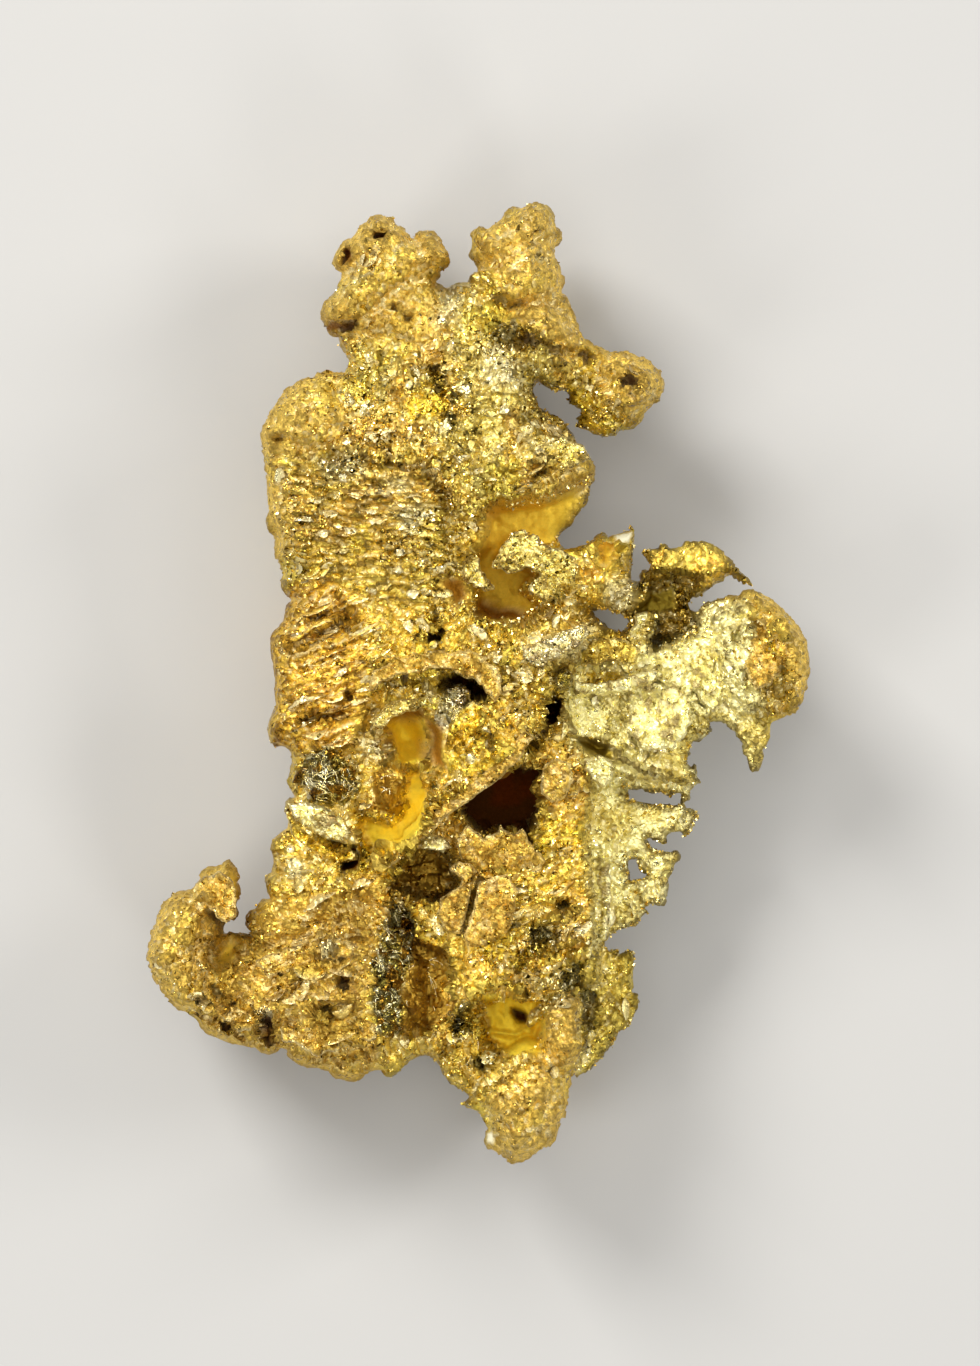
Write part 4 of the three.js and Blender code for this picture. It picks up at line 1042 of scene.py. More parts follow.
px, py = points[:, 0], points[:, 1]
from_rim = np.concatenate([depth, depth[~on_rim]])
tint = np.tile(HACKLY["colour"], (len(points), 1))
marks = np.tile(HACKLY["marks"], (len(points), 1))
share_of = {"hackly": np.ones(len(points))}
for name, form in FINISHES.items():
    share = region(px, py, form["edges"], form["soft"])
    if name not in BOTH_SIDES:
        share = share * is_front * smoothstep(0, RIM_FADE, from_rim)
    for other in share_of:
        share_of[other] = share_of[other] * (1 - share)
    share_of[name] = share
    tint += (form["colour"] - tint) * share[:, None]
    marks += (np.array(form["marks"]) - marks) * share[:, None]
hackly = share_of["hackly"] + share_of["pale"] + share_of["painted highlight"]
hackly = hackly + OLIVE_SHARPNESS * share_of["olive"] + GREY_SHARPNESS * share_of["grey"]
frosted = share_of["frosted"]
tan = share_of["tan"]
leaves = share_of["leaf"] + share_of["foot leaf"] + share_of["flap"]
mirrors = share_of["mirror"] + share_of["brown mirror"]
smooth_walls = share_of["amber"] + share_of["recess"] + share_of["groove"] + share_of["painted highlight facet"]
stains_and_shade = share_of["stained and shaded"] + share_of["brown pocket and bowl shade"]
for name, share in share_of.items():
    print(name, "covers", round(float(share[is_front].mean()), 3), "of the front")

# %% [markdown]
# The left slab has ribs that run across it like growth lines. A rib is a wave over the rows, bent by smooth
# noise so that no two ribs are parallel, and broken into short lengths. Lower down it turns into bark, with
# finer waves that climb to the right. The leaves are granular, and the lumps are knobbly with fine cracks.
# So there are three tables: places, patterns, and how high each pattern stands in each place, in pixels.
# Broad forms and fine detail are mixed apart, because the detail is calmed further in from the rim.

# %% Zones of growth
GROWTH_ZONES = {
    "slab": (24, [
        [(284, 462), (345, 464), (430, 470), (460, 520), (462, 580), (420, 610), (340, 590), (284, 560)]]),
    "bark": (30, [[(268, 575), (340, 575), (372, 610), (385, 660), (365, 745), (268, 760)]]),
    "plate": (8, [[(440, 888), (470, 880), (512, 886), (508, 930), (470, 945), (445, 930)]]),
    "folded": (20, [[(690, 640), (742, 640), (742, 712), (690, 712)]]),
    "netted": (20, [[(352, 596), (380, 586), (412, 600), (414, 640), (392, 660), (356, 644)]]),
    "banded": (16, [
        [(482, 512), (492, 478), (540, 445), (590, 446), (598, 470), (560, 494)],
        [(455, 905), (500, 880), (585, 850), (585, 925), (520, 940), (470, 950)]]),
}
OUTER_WALL = (16, 4)

slab, bark, plate, folded, netted, banded = (
    region(px, py, edges, soft) * is_front for soft, edges in GROWTH_ZONES.values())
banded = banded * hackly
long_grain = np.clip(bark + banded, 0, 1)
places = {
    "plain": hackly * (1 - slab) * (1 - long_grain),
    "slab": hackly * slab,
    "long grain": long_grain,
    "frosted": frosted,
    "tan": tan,
    "leaves": leaves,
    "smooth walls": smooth_walls,
    "stains_and_shade": stains_and_shade,
    "outer wall": smoothstep(*OUTER_WALL, from_rim) * hackly,
    "netted": netted,
    "plate": plate,
    "folded": folded,
}
places.update({name: share_of[name] for name in ("mirror", "brown mirror", "fan", "pod")})
print(len(places), "places with a roughness of their own")

# %% Patterns of the skin
BEND = ((9, 60, 1), (4, 22, 2))
LUMPY = ((1, 42, 4), (0.5, 19, 5), (0.15, 9, 6))
FINE = ((1, 5.5, 7),)
PATCHY = ((1, 50, 8),)
SPONGE = ((2.2, 34, 90), (1.5, 15, 91))
NETTING = ((1, 9, 92),)
CRUMPLES = (3, 12, 60)
CRACK_CELLS = (34, 70)
CRACK_SQUASH = np.array([1, 1.6, 1])
CRACK_WIDTH = 3.5
FLAKES = {
    "large flakes": (26, 100, 0, 1),
    "small flakes": (12, 110, 0, 1),
    "tiny flakes": (6, 120, 0, 1),
    "row flakes": (9, 130, -4, 2.0),
    "bark flakes": (7, 140, 22, 3.2),
    "fold flakes": (10, 145, 12, 2.2),
}
GROWTH_LINES = {
    "ribs": (1, -0.06, 1, 9.5, 0.8),
    "bark lines": (1, 0.42, 1.3, 8.5, 0.7),
    "plate lines": (1, -0.35, 0.5, 5.5, 0.8),
    "fold lines": (0, 1, 0.6, 7, 0.8),
}


def billows(p, size, seed):
    """Rounded lumps with sharp creases between them, from -1 in a crease to 1: noise folded at zero."""
    return 2 * np.sqrt(np.abs(smooth_noise(p, size, seed))) - 1


def waves(along, spacing, sharpness):
    """Ridges one spacing apart, from 0 in the grooves to 1 on crests that are sharp or round."""
    return (1 - np.abs(np.sin(np.pi * along / spacing))) ** sharpness


def layered(noise, p, layers):
    """A sum of one kind of noise at several sizes, each given as its height, spacing and seed."""
    return sum(height * noise(p, size, seed) for height, size, seed in layers)


bend = layered(smooth_noise, points, BEND)
reach, size, seed = CRUMPLES
crumpled = points + reach * np.stack([smooth_noise(points, size, seed + k) for k in range(3)], axis=1)
patterns = {
    "lumps": layered(smooth_noise, points, LUMPY),
    "fine": layered(smooth_noise, points, FINE),
    "sponge": layered(billows, points, SPONGE),
    "netting": layered(billows, points, NETTING),
    "cracks": smoothstep(CRACK_WIDTH, 0, cell_borders(points * CRACK_SQUASH, *CRACK_CELLS)),
}
for name, (size, seed, degrees, stretch) in FLAKES.items():
    patterns[name] = flakes(turned(crumpled, degrees, stretch), size, seed)
for name, (down, right, wander, spacing, sharpness) in GROWTH_LINES.items():
    patterns[name] = waves(down * py + wander * bend + right * px, spacing, sharpness) - 0.5
patches = smoothstep(-0.5, 0.5, layered(smooth_noise, points, PATCHY))
print(len(patterns), "patterns")

# %% Mixing the patterns
BROAD = {
    "plain": {"sponge": 1.0},
    "slab": {"sponge": 0.4},
    "frosted": {"sponge": 0.15, "lumps": 2.2},
    "tan": {"sponge": 0.5, "lumps": 2.6},
    "leaves": {"lumps": 1.0},
    "mirror": {"lumps": 0.8},
    "brown mirror": {"lumps": 0.8},
    "smooth walls": {"lumps": 0.5},
    "stains_and_shade": {"lumps": 1.5},
    "outer wall": {"lumps": 2.5},
    "netted": {"netting": 2.4},
}
DETAIL = {
    "plain": {"large flakes": 0.3, "small flakes": 0.6, "tiny flakes": 0.5},
    "slab": {"ribs": 4.0, "row flakes": 1.0, "tiny flakes": 0.35},
    "long grain": {"bark lines": 1.6, "bark flakes": 0.9, "tiny flakes": 0.3},
    "frosted": {"small flakes": 0.4, "tiny flakes": 0.4, "fine": 0.4, "cracks": -0.3},
    "tan": {"large flakes": 0.3, "fold flakes": 0.8, "tiny flakes": 0.3, "cracks": -0.9},
    "plate": {"plate lines": 0.9},
    "folded": {"fold lines": 1.0},
    "leaves": {"small flakes": 0.3, "tiny flakes": 0.4},
    "mirror": {"large flakes": 0.4, "small flakes": 0.35},
    "brown mirror": {"large flakes": 0.15, "small flakes": 0.2},
    "fan": {"small flakes": 0.4, "tiny flakes": 0.35},
    "pod": {"small flakes": 0.24, "tiny flakes": 0.21},
    "smooth walls": {"small flakes": 0.18, "tiny flakes": 0.12},
    "stains_and_shade": {"fine": 1.2},
}
BROAD_CALM = 0.55
BROAD_REACH = 9
DETAIL_CALM = 0.85
DETAIL_REACH = 14
LEAVES_LESS_CALM = 0.4
LEAVES_LESS_REACH = 10
FROST_LESS_CALM = 0.35


def mixture(recipe):
    """Heights in pixels: for each place, its share times the sum of its patterns, each by its own height."""
    return sum(places[place] * sum(height * patterns[name] for name, height in parts.items())
               for place, parts in recipe.items())


calm = DETAIL_CALM - LEAVES_LESS_CALM * leaves - FROST_LESS_CALM * frosted
calm_reach = DETAIL_REACH - LEAVES_LESS_REACH * leaves
rough = (
    mixture(BROAD) * (1 - BROAD_CALM * smoothstep(BROAD_REACH, 0, from_rim))
    + mixture(DETAIL) * (1 - calm * smoothstep(calm_reach, 0, from_rim))
)
skin = points + normals_of(points, faces) * rough[:, None]
skin[:, 2] = np.maximum(skin[:, 2], 0)
skin_normals = normals_of(skin, faces)
print("roughened by", round(float(np.abs(rough).mean() / PX_PER_MM), 3), "mm on average")

# %% [markdown]
# No patch of gold has quite the colour of the next: some are tan, olive or lemon. Crevices are
# given painted shade and crests painted highlights. A point is in a crevice when the mean of the
# points round it lies above it, so the mesh is averaged a few times and compared with itself.

# %% Patches of colour
TAN_PATCHES = ((1, 48, 95), (0.5, 16, 96))
TAN_RANGE = (-0.1, 0.6)
LEMON_PATCHES = ((1, 36, 97), (0.5, 12, 98))
LEMON_RANGE = (0.1, 0.7)
FROST_LEMON = 0.4
TAN_LEMON = 0.3
SLAB_SHADE = 0.18


def toward(colours, other, share):
    """Colours moved towards another colour by a share for each point."""
    return colours + (other - colours) * share[..., None]


tan_share = smoothstep(*TAN_RANGE, layered(smooth_noise, points, TAN_PATCHES))
lemon_share = smoothstep(*LEMON_RANGE, layered(smooth_noise, points, LEMON_PATCHES))
lemon_places = hackly + FROST_LEMON * frosted + TAN_LEMON * tan
PATCHES = {
    "tan": (linear(246, 206, 98), 0.7, tan_share * (hackly - share_of["painted highlight"])),
    "olive": (linear(222, 200, 96), 0.75, tan_share * leaves),
    "rust": (linear(132, 58, 10), 0.8, lemon_share * share_of["stained and shaded"]),
    "lemon": (linear(250, 226, 84), 0.6, lemon_share * lemon_places),
}
for name, (colour, strength, share) in PATCHES.items():
    tint = toward(tint, colour, strength * share)
    print(name, "patches cover", round(float(share[is_front].mean()), 2), "of the front")
tint *= (1 - SLAB_SHADE * slab * hackly)[:, None]

# %% Crevices: painted shade in crevices and pits, painted highlights on crests
CREVICE_ROUNDS = (2, 6, 16)
CREVICE_RANGE = (0.6, 3.2)
CREVICE_SHADE_COLOUR = linear(122, 82, 16)
OLIVE_CREVICE_SHADE = linear(124, 102, 36)
LINED_DEPTH = 0.5
WALLS_LESS_SHADE = 0.8
LUMPS_LESS_SHADE = 0.35
CREVICE_SHADE_STRENGTH = 0.85
HACKLY_LESS_SHADE = 0.2
CREST_RANGE = (0.3, 2.0)
CREST_HIGHLIGHT_COLOUR = linear(255, 248, 206)
CREST_HIGHLIGHT_STRENGTH = 0.6
TAN_LESS_HIGHLIGHT = 0.25
PIT_RANGE = (0.8, 2.0)
PIT_SHADE_COLOUR = linear(124, 72, 18)
PIT_SHADE_STRENGTH = 0.9

averaged = skin
crevice = np.zeros(len(skin))
neighbours = gathered(np.ones((len(faces), 3)), faces, len(skin))
for round_number in range(1, max(CREVICE_ROUNDS) + 1):
    averaged = gathered(averaged[faces].mean(axis=1), faces, len(skin)) / neighbours
    if round_number in CREVICE_ROUNDS:
        crevice += ((averaged - skin) * skin_normals).sum(axis=1) / np.sqrt(round_number)
lined = np.clip(slab + bark, 0, 1)
crevice_shade_share = smoothstep(*CREVICE_RANGE, crevice * (1 + LINED_DEPTH * lined))
crevice_shade_share *= (1 - WALLS_LESS_SHADE * smooth_walls) * (1 - LUMPS_LESS_SHADE * (frosted + tan))
crest_highlight_share = smoothstep(*CREST_RANGE, -crevice) * (1 - smooth_walls) * (1 - stains_and_shade)
crest_highlight_share = crest_highlight_share * (1 - share_of["brown mirror"])
# Painted shade: the bottoms of deep pits and cracks are painted dark brown and lose their metal.
pit_shade_share = smoothstep(*PIT_RANGE, sunk(*warped(px, py))) * is_front * (1 - smooth_walls)
# Painted shade: crevices are darkened towards brown, and towards olive on the hackly faces and leaves.
crevice_shade = CREVICE_SHADE_COLOUR + (OLIVE_CREVICE_SHADE - CREVICE_SHADE_COLOUR) * np.clip(hackly + leaves, 0, 1)[:, None]
tint = toward(tint, crevice_shade, (CREVICE_SHADE_STRENGTH - HACKLY_LESS_SHADE * hackly * (1 - lined)) * crevice_shade_share)
# Painted highlight: crests are moved towards a pale cream.
tint = toward(tint, CREST_HIGHLIGHT_COLOUR, (CREST_HIGHLIGHT_STRENGTH - TAN_LESS_HIGHLIGHT * tan) * crest_highlight_share)
tint = toward(tint, PIT_SHADE_COLOUR, PIT_SHADE_STRENGTH * pit_shade_share)
print("in crevices:", round(float(crevice_shade_share.mean()), 2))
print("on crests:", round(float(crest_highlight_share.mean()), 2))

# %% Mirror facets and places that are not bare metal
SPARKLE_RANGE = (0.3, 1.1)
# Places with painted shade or painted highlight lose part of their metal, so their painted colour shows; so
# do the amber hollows.
NOT_METAL = {"stained and shaded": 1, "brown pocket and bowl shade": 0.7, "amber": 0.5, "recess": 0.5, "painted highlight facet": 0.7}

roughness, grain, sparkle = marks.T
sparkle = sparkle * (SPARKLE_RANGE[0] + SPARKLE_RANGE[1] * patches)
not_metal = sum(amount * share_of[name] for name, amount in NOT_METAL.items())
metal = np.clip(1 - not_metal - pit_shade_share, 0, 1)
print("bare metal:", round(float(metal[is_front].mean()), 2), "of the front")

# %% Putting a surface into a mesh
def mesh_piece(name, points, faces, material, smooth, marks=None):
    """A mesh object from points in pixels and faces of one size, with marks or colours at the points."""
    mesh = bpy.data.meshes.new(name)
    mesh.vertices.add(len(points))
    mesh.vertices.foreach_set("co", to_metres(points).ravel())
    mesh.loops.add(faces.size)
    mesh.loops.foreach_set("vertex_index", faces.ravel().astype(np.int32))
    mesh.polygons.add(len(faces))
    mesh.polygons.foreach_set("loop_start", np.arange(0, faces.size, faces.shape[1], dtype=np.int32))
    mesh.polygons.foreach_set("use_smooth", np.broadcast_to(smooth, len(faces)))
    mesh.update(calc_edges=True)
    mesh.validate()
    for mark, values in (marks or {}).items():
        if values.ndim == 1:
            kept = mesh.attributes.new(mark, "FLOAT", "POINT")
            kept.data.foreach_set("value", values.astype(np.float32))
        else:
            colours = np.hstack([values, np.ones((len(values), 1))]).astype(np.float32)
            kept = mesh.attributes.new(mark, "FLOAT_COLOR", "POINT")
            kept.data.foreach_set("color", colours.ravel())
    mesh.materials.append(material)
    piece = bpy.data.objects.new(name, mesh)
    bpy.context.scene.collection.objects.link(piece)
    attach(piece, "root")
    print(name, len(mesh.vertices), "points", len(mesh.loops) - 2 * len(mesh.polygons), "triangles")
    return piece


# %% [markdown]
# Gold is a metal, so its colour is the colour of its mirror. What makes it look frosted or sparkling is the
# roughness of that mirror and the tilt of many small facets. The facets are a node group that more than one
# finish uses: space is split into cells and each cell leans its own way, as on the mesh but much finer.

# %% Facet group
MIX_INPUTS = (0, 6, 7)
MIX_OUTPUT = 2


def new_material(name):
    """A new material, its node tree and its shader."""
    material = bpy.data.materials.new(name)
    material.use_nodes = True
    return material, material.node_tree, material.node_tree.nodes["Principled BSDF"]


def fed(tree, node, index, value):
    """Feeds one input of a node with a socket or a plain value."""
    if isinstance(value, bpy.types.NodeSocket):
        tree.links.new(value, node.inputs[index])
    else:
        node.inputs[index].default_value = value


def calculated(tree, operation, *values, kind="ShaderNodeMath", output=0):
    """A Math or Vector Math node on values or sockets."""
    node = tree.nodes.new(kind)
    node.operation = operation
    for index, value in enumerate(values):
        fed(tree, node, index, value)
    return node.outputs[output]


def facet_group():
    """Height of one set of leaning facets: the offset from the cell's centre dotted with its tilt."""
    group = bpy.data.node_groups.new("leaning_facets", "ShaderNodeTree")
    group.interface.new_socket("Vector", in_out="INPUT", socket_type="NodeSocketVector")
    group.interface.new_socket("Cells per metre", in_out="INPUT", socket_type="NodeSocketFloat")
    group.interface.new_socket("Height", in_out="OUTPUT", socket_type="NodeSocketFloat")
    group.interface.new_socket("Chance", in_out="OUTPUT", socket_type="NodeSocketFloat")
    given = group.nodes.new("NodeGroupInput").outputs
    result = group.nodes.new("NodeGroupOutput")
    cells = group.nodes.new("ShaderNodeTexVoronoi")
    fed(group, cells, "Vector", given["Vector"])
    fed(group, cells, "Scale", given["Cells per metre"])
    vectors = {"kind": "ShaderNodeVectorMath"}
    offset = calculated(group, "SUBTRACT", given["Vector"], cells.outputs["Position"], **vectors)
    tilt = calculated(group, "MULTIPLY_ADD", cells.outputs["Color"], (2, 2, 2), (-1, -1, -1), **vectors)
    fed(group, result, "Height", calculated(group, "DOT_PRODUCT", offset, tilt, output="Value", **vectors))
    split = group.nodes.new("ShaderNodeSeparateColor")
    fed(group, split, 0, cells.outputs["Color"])
    fed(group, result, "Chance", split.outputs[0])
    return group


FACETS = facet_group()
print("group", FACETS.name)

# %% Gold of the skin
COARSE_CELLS = 5600
FINE_CELLS = 13000
FINE_HEIGHT = 0.5
MIRROR_ROUGHNESS = 0.14
RUST_GLOSS = 0.05
DARK_SHARE = 0.34
LEAST_DARK = 0.06
SPECK_SHADE = (0.34, 0.31, 0.2, 1)
LEAST_TONE = 0.62
TONE_SPREAD = 0.5
TONE_STRENGTH = 1.2


def mark(tree, name, output="Fac"):
    """A value or colour kept on the mesh, as a socket."""
    node = tree.nodes.new("ShaderNodeAttribute")
    node.attribute_name = name
    return node.outputs[output]


def mixed(tree, share, first, second, blend="MIX"):
    """A colour mix from first to second by share; each may be a socket or a plain value."""
    node = tree.nodes.new("ShaderNodeMix")
    node.data_type = "RGBA"
    node.blend_type = blend
    for index, value in zip(MIX_INPUTS, (share, first, second)):
        fed(tree, node, index, value)
    return node.outputs[MIX_OUTPUT]


def facets(tree, cells_per_metre):
    """One use of the facet group at a given fineness, on Object coordinates."""
    node = tree.nodes.new("ShaderNodeGroup")
    node.node_tree = FACETS
    fed(tree, node, "Vector", tree.nodes.new("ShaderNodeTexCoord").outputs["Object"])
    node.inputs["Cells per metre"].default_value = cells_per_metre
    return node.outputs


def skin_material():
    """Gold whose colour, roughness and facets follow the marks kept on the mesh."""
    material, tree, shader = new_material("native gold")
    shader.inputs["Specular IOR Level"].default_value = RUST_GLOSS
    coarse = facets(tree, COARSE_CELLS)
    finer = facets(tree, FINE_CELLS)
    grain_mark = mark(tree, "grain")
    sparkle_mark = mark(tree, "sparkle")
    matt = mark(tree, "roughness")
    dark_share = calculated(tree, "MULTIPLY_ADD", sparkle_mark, DARK_SHARE, -LEAST_DARK)
    speck = calculated(tree, "LESS_THAN", coarse["Chance"], dark_share)
    colour = mixed(tree, speck, mark(tree, "tint", "Color"), SPECK_SHADE, "MULTIPLY")
    tone = calculated(tree, "MULTIPLY_ADD", finer["Chance"], TONE_SPREAD, LEAST_TONE)
    tone_share = calculated(tree, "MULTIPLY", grain_mark, TONE_STRENGTH)
    mirror = calculated(tree, "LESS_THAN", coarse["Chance"], sparkle_mark)
    gloss = calculated(tree, "SUBTRACT", MIRROR_ROUGHNESS, matt)
    bump = tree.nodes.new("ShaderNodeBump")
    bump.inputs["Distance"].default_value = 1.0
    fed(tree, bump, "Strength", grain_mark)
    height = calculated(tree, "MULTIPLY_ADD", finer["Height"], FINE_HEIGHT, coarse["Height"])
    fed(tree, bump, "Height", height)
    fed(tree, shader, "Metallic", mark(tree, "metal"))
    fed(tree, shader, "Base Color", mixed(tree, tone_share, colour, tone, "MULTIPLY"))
    fed(tree, shader, "Roughness", calculated(tree, "MULTIPLY_ADD", gloss, mirror, matt))
    fed(tree, shader, "Normal", bump.outputs["Normal"])
    return material


NATIVE_GOLD = skin_material()
print("material", NATIVE_GOLD.name)

# %% [markdown]
# The back is never seen as closely as the front, so it needs fewer faces. A Decimate modifier with a group
# of the back's points as its weight thins only that side, and is then made part of the mesh.

# %% The skin
MOST_TRIANGLES = 196000
CRUMPLED_SHARPNESS = 0.6

sharp = hackly + leaves + mirrors + share_of["fan"] + CRUMPLED_SHARPNESS * (share_of["bark"] + tan)
faceted = sharp[faces].mean(axis=1) > 0.5
kept_marks = {"tint": tint, "roughness": roughness, "grain": grain, "sparkle": sparkle, "metal": metal}
gold_skin = mesh_piece("gold_skin", skin, faces, NATIVE_GOLD, ~faceted, kept_marks)
back_group = gold_skin.vertex_groups.new(name="back")
back_group.add(np.flatnonzero(~is_front).tolist(), 1.0, "REPLACE")
thinning = gold_skin.modifiers.new("thinner back", "DECIMATE")
thinning.vertex_group = back_group.name
thinning.ratio = MOST_TRIANGLES / (2 * len(faces))
thinned = bpy.data.meshes.new_from_object(gold_skin.evaluated_get(bpy.context.evaluated_depsgraph_get()))
gold_skin.modifiers.clear()
gold_skin.vertex_groups.clear()
gold_skin.data = thinned
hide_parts("gold_mass")
print("thinned to", len(thinned.loops) - 2 * len(thinned.polygons), "triangles")

# %% [markdown]
# Over the skin lie separate leaves, pods and plates, whose free edges stand clear of the ground and shade
# it. A heap of height fields can't overhang, so each is a thin closed sheet of its own: a ragged outline,
# a level where it grows out of the ground and a level at its free edge, and a bulge between them.

# %% Leaves, pods and plates
LEAF_NET = 1.4
LEAF_HALF = 0.3
LEAF_EDGE = 5
RAG_STEP = 1.5
RAGS = ((1, 8, 160), (0.7, 4, 161))


def leaf(kind, levels, bulge, ragged, root, free, outline):
    """A leaf: its finish, level in mm at root and free edge, bulge in mm, raggedness in px and outline."""
    root, free, outline = (np.array(place, dtype=float) for place in (root, free, outline))
    return {"kind": kind, "levels": levels, "bulge": bulge, "ragged": ragged,
            "root": root, "free": free, "outline": outline}


LEAF_FORMS = [
    leaf("fan", (8.9, 9.5), 0.3, 0.8, (332, 860), (318, 834), [
        (287, 806), (298, 822), (314, 836), (336, 846), (358, 850), (361, 859), (340, 861), (314, 850),
        (294, 834)]),
    leaf("pod", (9.6, 10.1), 0.6, 0.8, (318, 838), (334, 806), [
        (290, 802), (306, 800), (326, 805), (346, 818), (361, 842), (346, 842), (326, 837), (308, 828),
        (296, 816)]),
    leaf("frosted", (9.5, 10.4), 0.2, 1.2, (482, 948), (490, 870), [
        (479, 879), (508, 870), (517, 890), (511, 925), (496, 940), (470, 945), (464, 935), (472, 908)]),
    leaf("frosted", (9.5, 10.2), 0.2, 1.0, (452, 934), (456, 884), [
        (441, 896), (458, 885), (474, 880), (468, 906), (461, 932), (446, 928), (438, 912)]),
    leaf("frosted", (9.3, 10.5), 0.3, 1.0, (472, 886), (454, 866), [
        (449, 866), (458, 859), (470, 861), (477, 870), (473, 884), (464, 893), (459, 888), (462, 876),
        (456, 872)]),
    leaf("tan", (9.2, 10.0), 0.3, 2.6, (505, 878), (505, 824), [
        (465, 823), (474, 830), (484, 838), (494, 830), (500, 822), (506, 832), (514, 834), (522, 828),
        (528, 836),
        (538, 850), (546, 860), (540, 874), (510, 878), (480, 874), (460, 858), (456, 838)]),
    leaf("pale", (9.0, 10.2), 0.4, 2.6, (565, 600), (505, 545), [
        (492, 568), (499, 556), (505, 545), (514, 535), (524, 533), (534, 539), (547, 547), (560, 551),
        (574, 560),
        (582, 585), (562, 605), (540, 600), (527, 592), (538, 575), (524, 569), (508, 574)]),
    leaf("painted highlight", (9.8, 10.9), 0.2, 1.5, (560, 668), (554, 632), [
        (522, 652), (540, 641), (562, 632), (584, 625), (591, 634), (577, 648), (557, 660), (536, 668),
        (521, 664)]),
    leaf("leaf", (7.9, 8.9), 0.3, 1.2, (612, 700), (610, 678), [
        (571, 679), (590, 684), (612, 681), (632, 675), (653, 668), (661, 674), (648, 684), (626, 692),
        (600, 696),
        (575, 692)]),
    leaf("frosted", (9.4, 10.9), 0.3, 1.5, (200, 878), (238, 918), [
        (196, 888), (206, 875), (222, 869), (236, 880), (240, 896), (238, 914), (230, 922), (220, 914),
        (208, 902)]),
    leaf("tan", (9.8, 10.4), 0.7, 1.5, (572, 790), (544, 770), [
        (540, 776), (546, 763), (558, 757), (570, 763), (573, 780), (564, 797), (550, 801), (541, 792)]),
    leaf("pale", (8.8, 9.9), 0.2, 2.4, (460, 570), (494, 588), [
        (461, 564), (470, 555), (478, 560), (482, 572), (490, 580), (495, 590), (484, 593), (474, 588),
        (464, 580)]),
    leaf("tan", (10.0, 11.0), 0.2, 2.2, (432, 646), (448, 696), [
        (370, 692), (384, 681), (404, 675), (430, 669), (452, 670), (462, 677), (477, 682), (495, 702),
        (502, 690),
        (498, 668), (470, 650), (430, 652), (400, 658), (374, 672)]),
    leaf("pale", (9.8, 10.9), 0.1, 1.6, (404, 690), (412, 714), [
        (370, 722), (384, 708), (400, 699), (420, 696), (440, 693), (447, 700), (430, 707), (411, 711),
        (395, 717),
        (384, 728)]),
    leaf("frosted", (10.0, 10.8), 0.2, 1.4, (430, 800), (478, 812), [
        (380, 860), (404, 840), (428, 816), (446, 797), (470, 782), (492, 766), (508, 750), (524, 730),
        (533, 737),
        (518, 759), (500, 777), (478, 793), (456, 808), (438, 824), (414, 847), (390, 868)]),
    leaf("tan", (10.6, 10.9), 0.1, 2.2, (330, 1004), (328, 1046), [
        (282, 1022), (310, 1010), (350, 1008), (378, 1020), (376, 1033), (357, 1038), (338, 1045),
        (318, 1051),
        (300, 1041), (284, 1036)]),
    leaf("tan", (11.3, 11.7), 0.1, 1.8, (300, 938), (308, 964), [
        (258, 956), (290, 944), (330, 934), (358, 942), (353, 953), (334, 955), (300, 964), (272, 974)]),
    leaf("pod", (6.6, 8.2), 0.2, 0.6, (527, 1026), (544, 1004), [
        (525, 1024), (530, 1010), (540, 1002), (545, 1008), (538, 1020), (530, 1028)]),
    leaf("leaf", (7.2, 8.2), 0.2, 2.2, (640, 646), (642, 612), [
        (627, 642), (631, 624), (638, 614), (648, 611), (653, 622), (651, 641)]),
    leaf("fan", (9.4, 10.8), 0.3, 1.2, (450, 756), (484, 704), [
        (445, 748), (449, 726), (459, 710), (474, 700), (487, 705), (495, 720), (489, 738), (474, 753),
        (458, 757)]),
    leaf("grey", (7.8, 8.6), 1.1, 1.0, (440, 712), (472, 692), [
        (439, 698), (447, 688), (460, 683), (471, 691), (473, 706), (464, 717), (450, 723), (440, 715)]),
    leaf("leaf", (9.0, 9.9), 0.2, 1.0, (438, 832), (440, 850), [
        (418, 839), (430, 833), (445, 835), (453, 846), (444, 851), (434, 848), (424, 847)]),
    leaf("olive", (8.8, 9.3), 0.8, 0.8, (572, 690), (556, 672), [
        (554, 672), (564, 667), (573, 675), (571, 688), (560, 691), (553, 682)]),
    leaf("leaf", (8.0, 9.2), 0.4, 1.4, (590, 788), (602, 756), [
        (583, 758), (598, 753), (611, 761), (613, 776), (604, 787), (592, 781), (585, 770)]),
    leaf("leaf", (7.6, 8.6), 0.3, 2.4, (640, 690), (670, 748), [
        (627, 690), (650, 681), (676, 685), (690, 700), (688, 734), (670, 749), (642, 748), (627, 730)]),
    leaf("foot leaf", (7.6, 8.3), 0.2, 2.2, (600, 636), (606, 668), [
        (575, 646), (600, 636), (628, 640), (640, 652), (632, 664), (604, 662), (580, 667)]),
    leaf("leaf", (6.6, 7.4), 0.2, 1.4, (592, 900), (612, 900), [
        (591, 862), (600, 857), (610, 866), (611, 900), (606, 939), (598, 941), (591, 905)]),
    leaf("leaf", (6.8, 7.6), 0.3, 2.0, (700, 640), (716, 712), [
        (690, 650), (704, 636), (722, 640), (730, 664), (724, 700), (712, 712), (698, 704), (690, 680)]),
    leaf("frosted", (8.8, 9.8), 0.5, 1.8, (770, 630), (742, 668), [
        (742, 626), (760, 618), (776, 632), (780, 660), (770, 684), (752, 690), (742, 668), (748, 648)]),
    leaf("pale", (9.9, 10.9), 0.3, 1.8, (548, 470), (574, 452), [
        (500, 470), (530, 450), (560, 440), (584, 448), (590, 462), (566, 474), (534, 484), (504, 486)]),
]


print(len(LEAF_FORMS), "leaves")


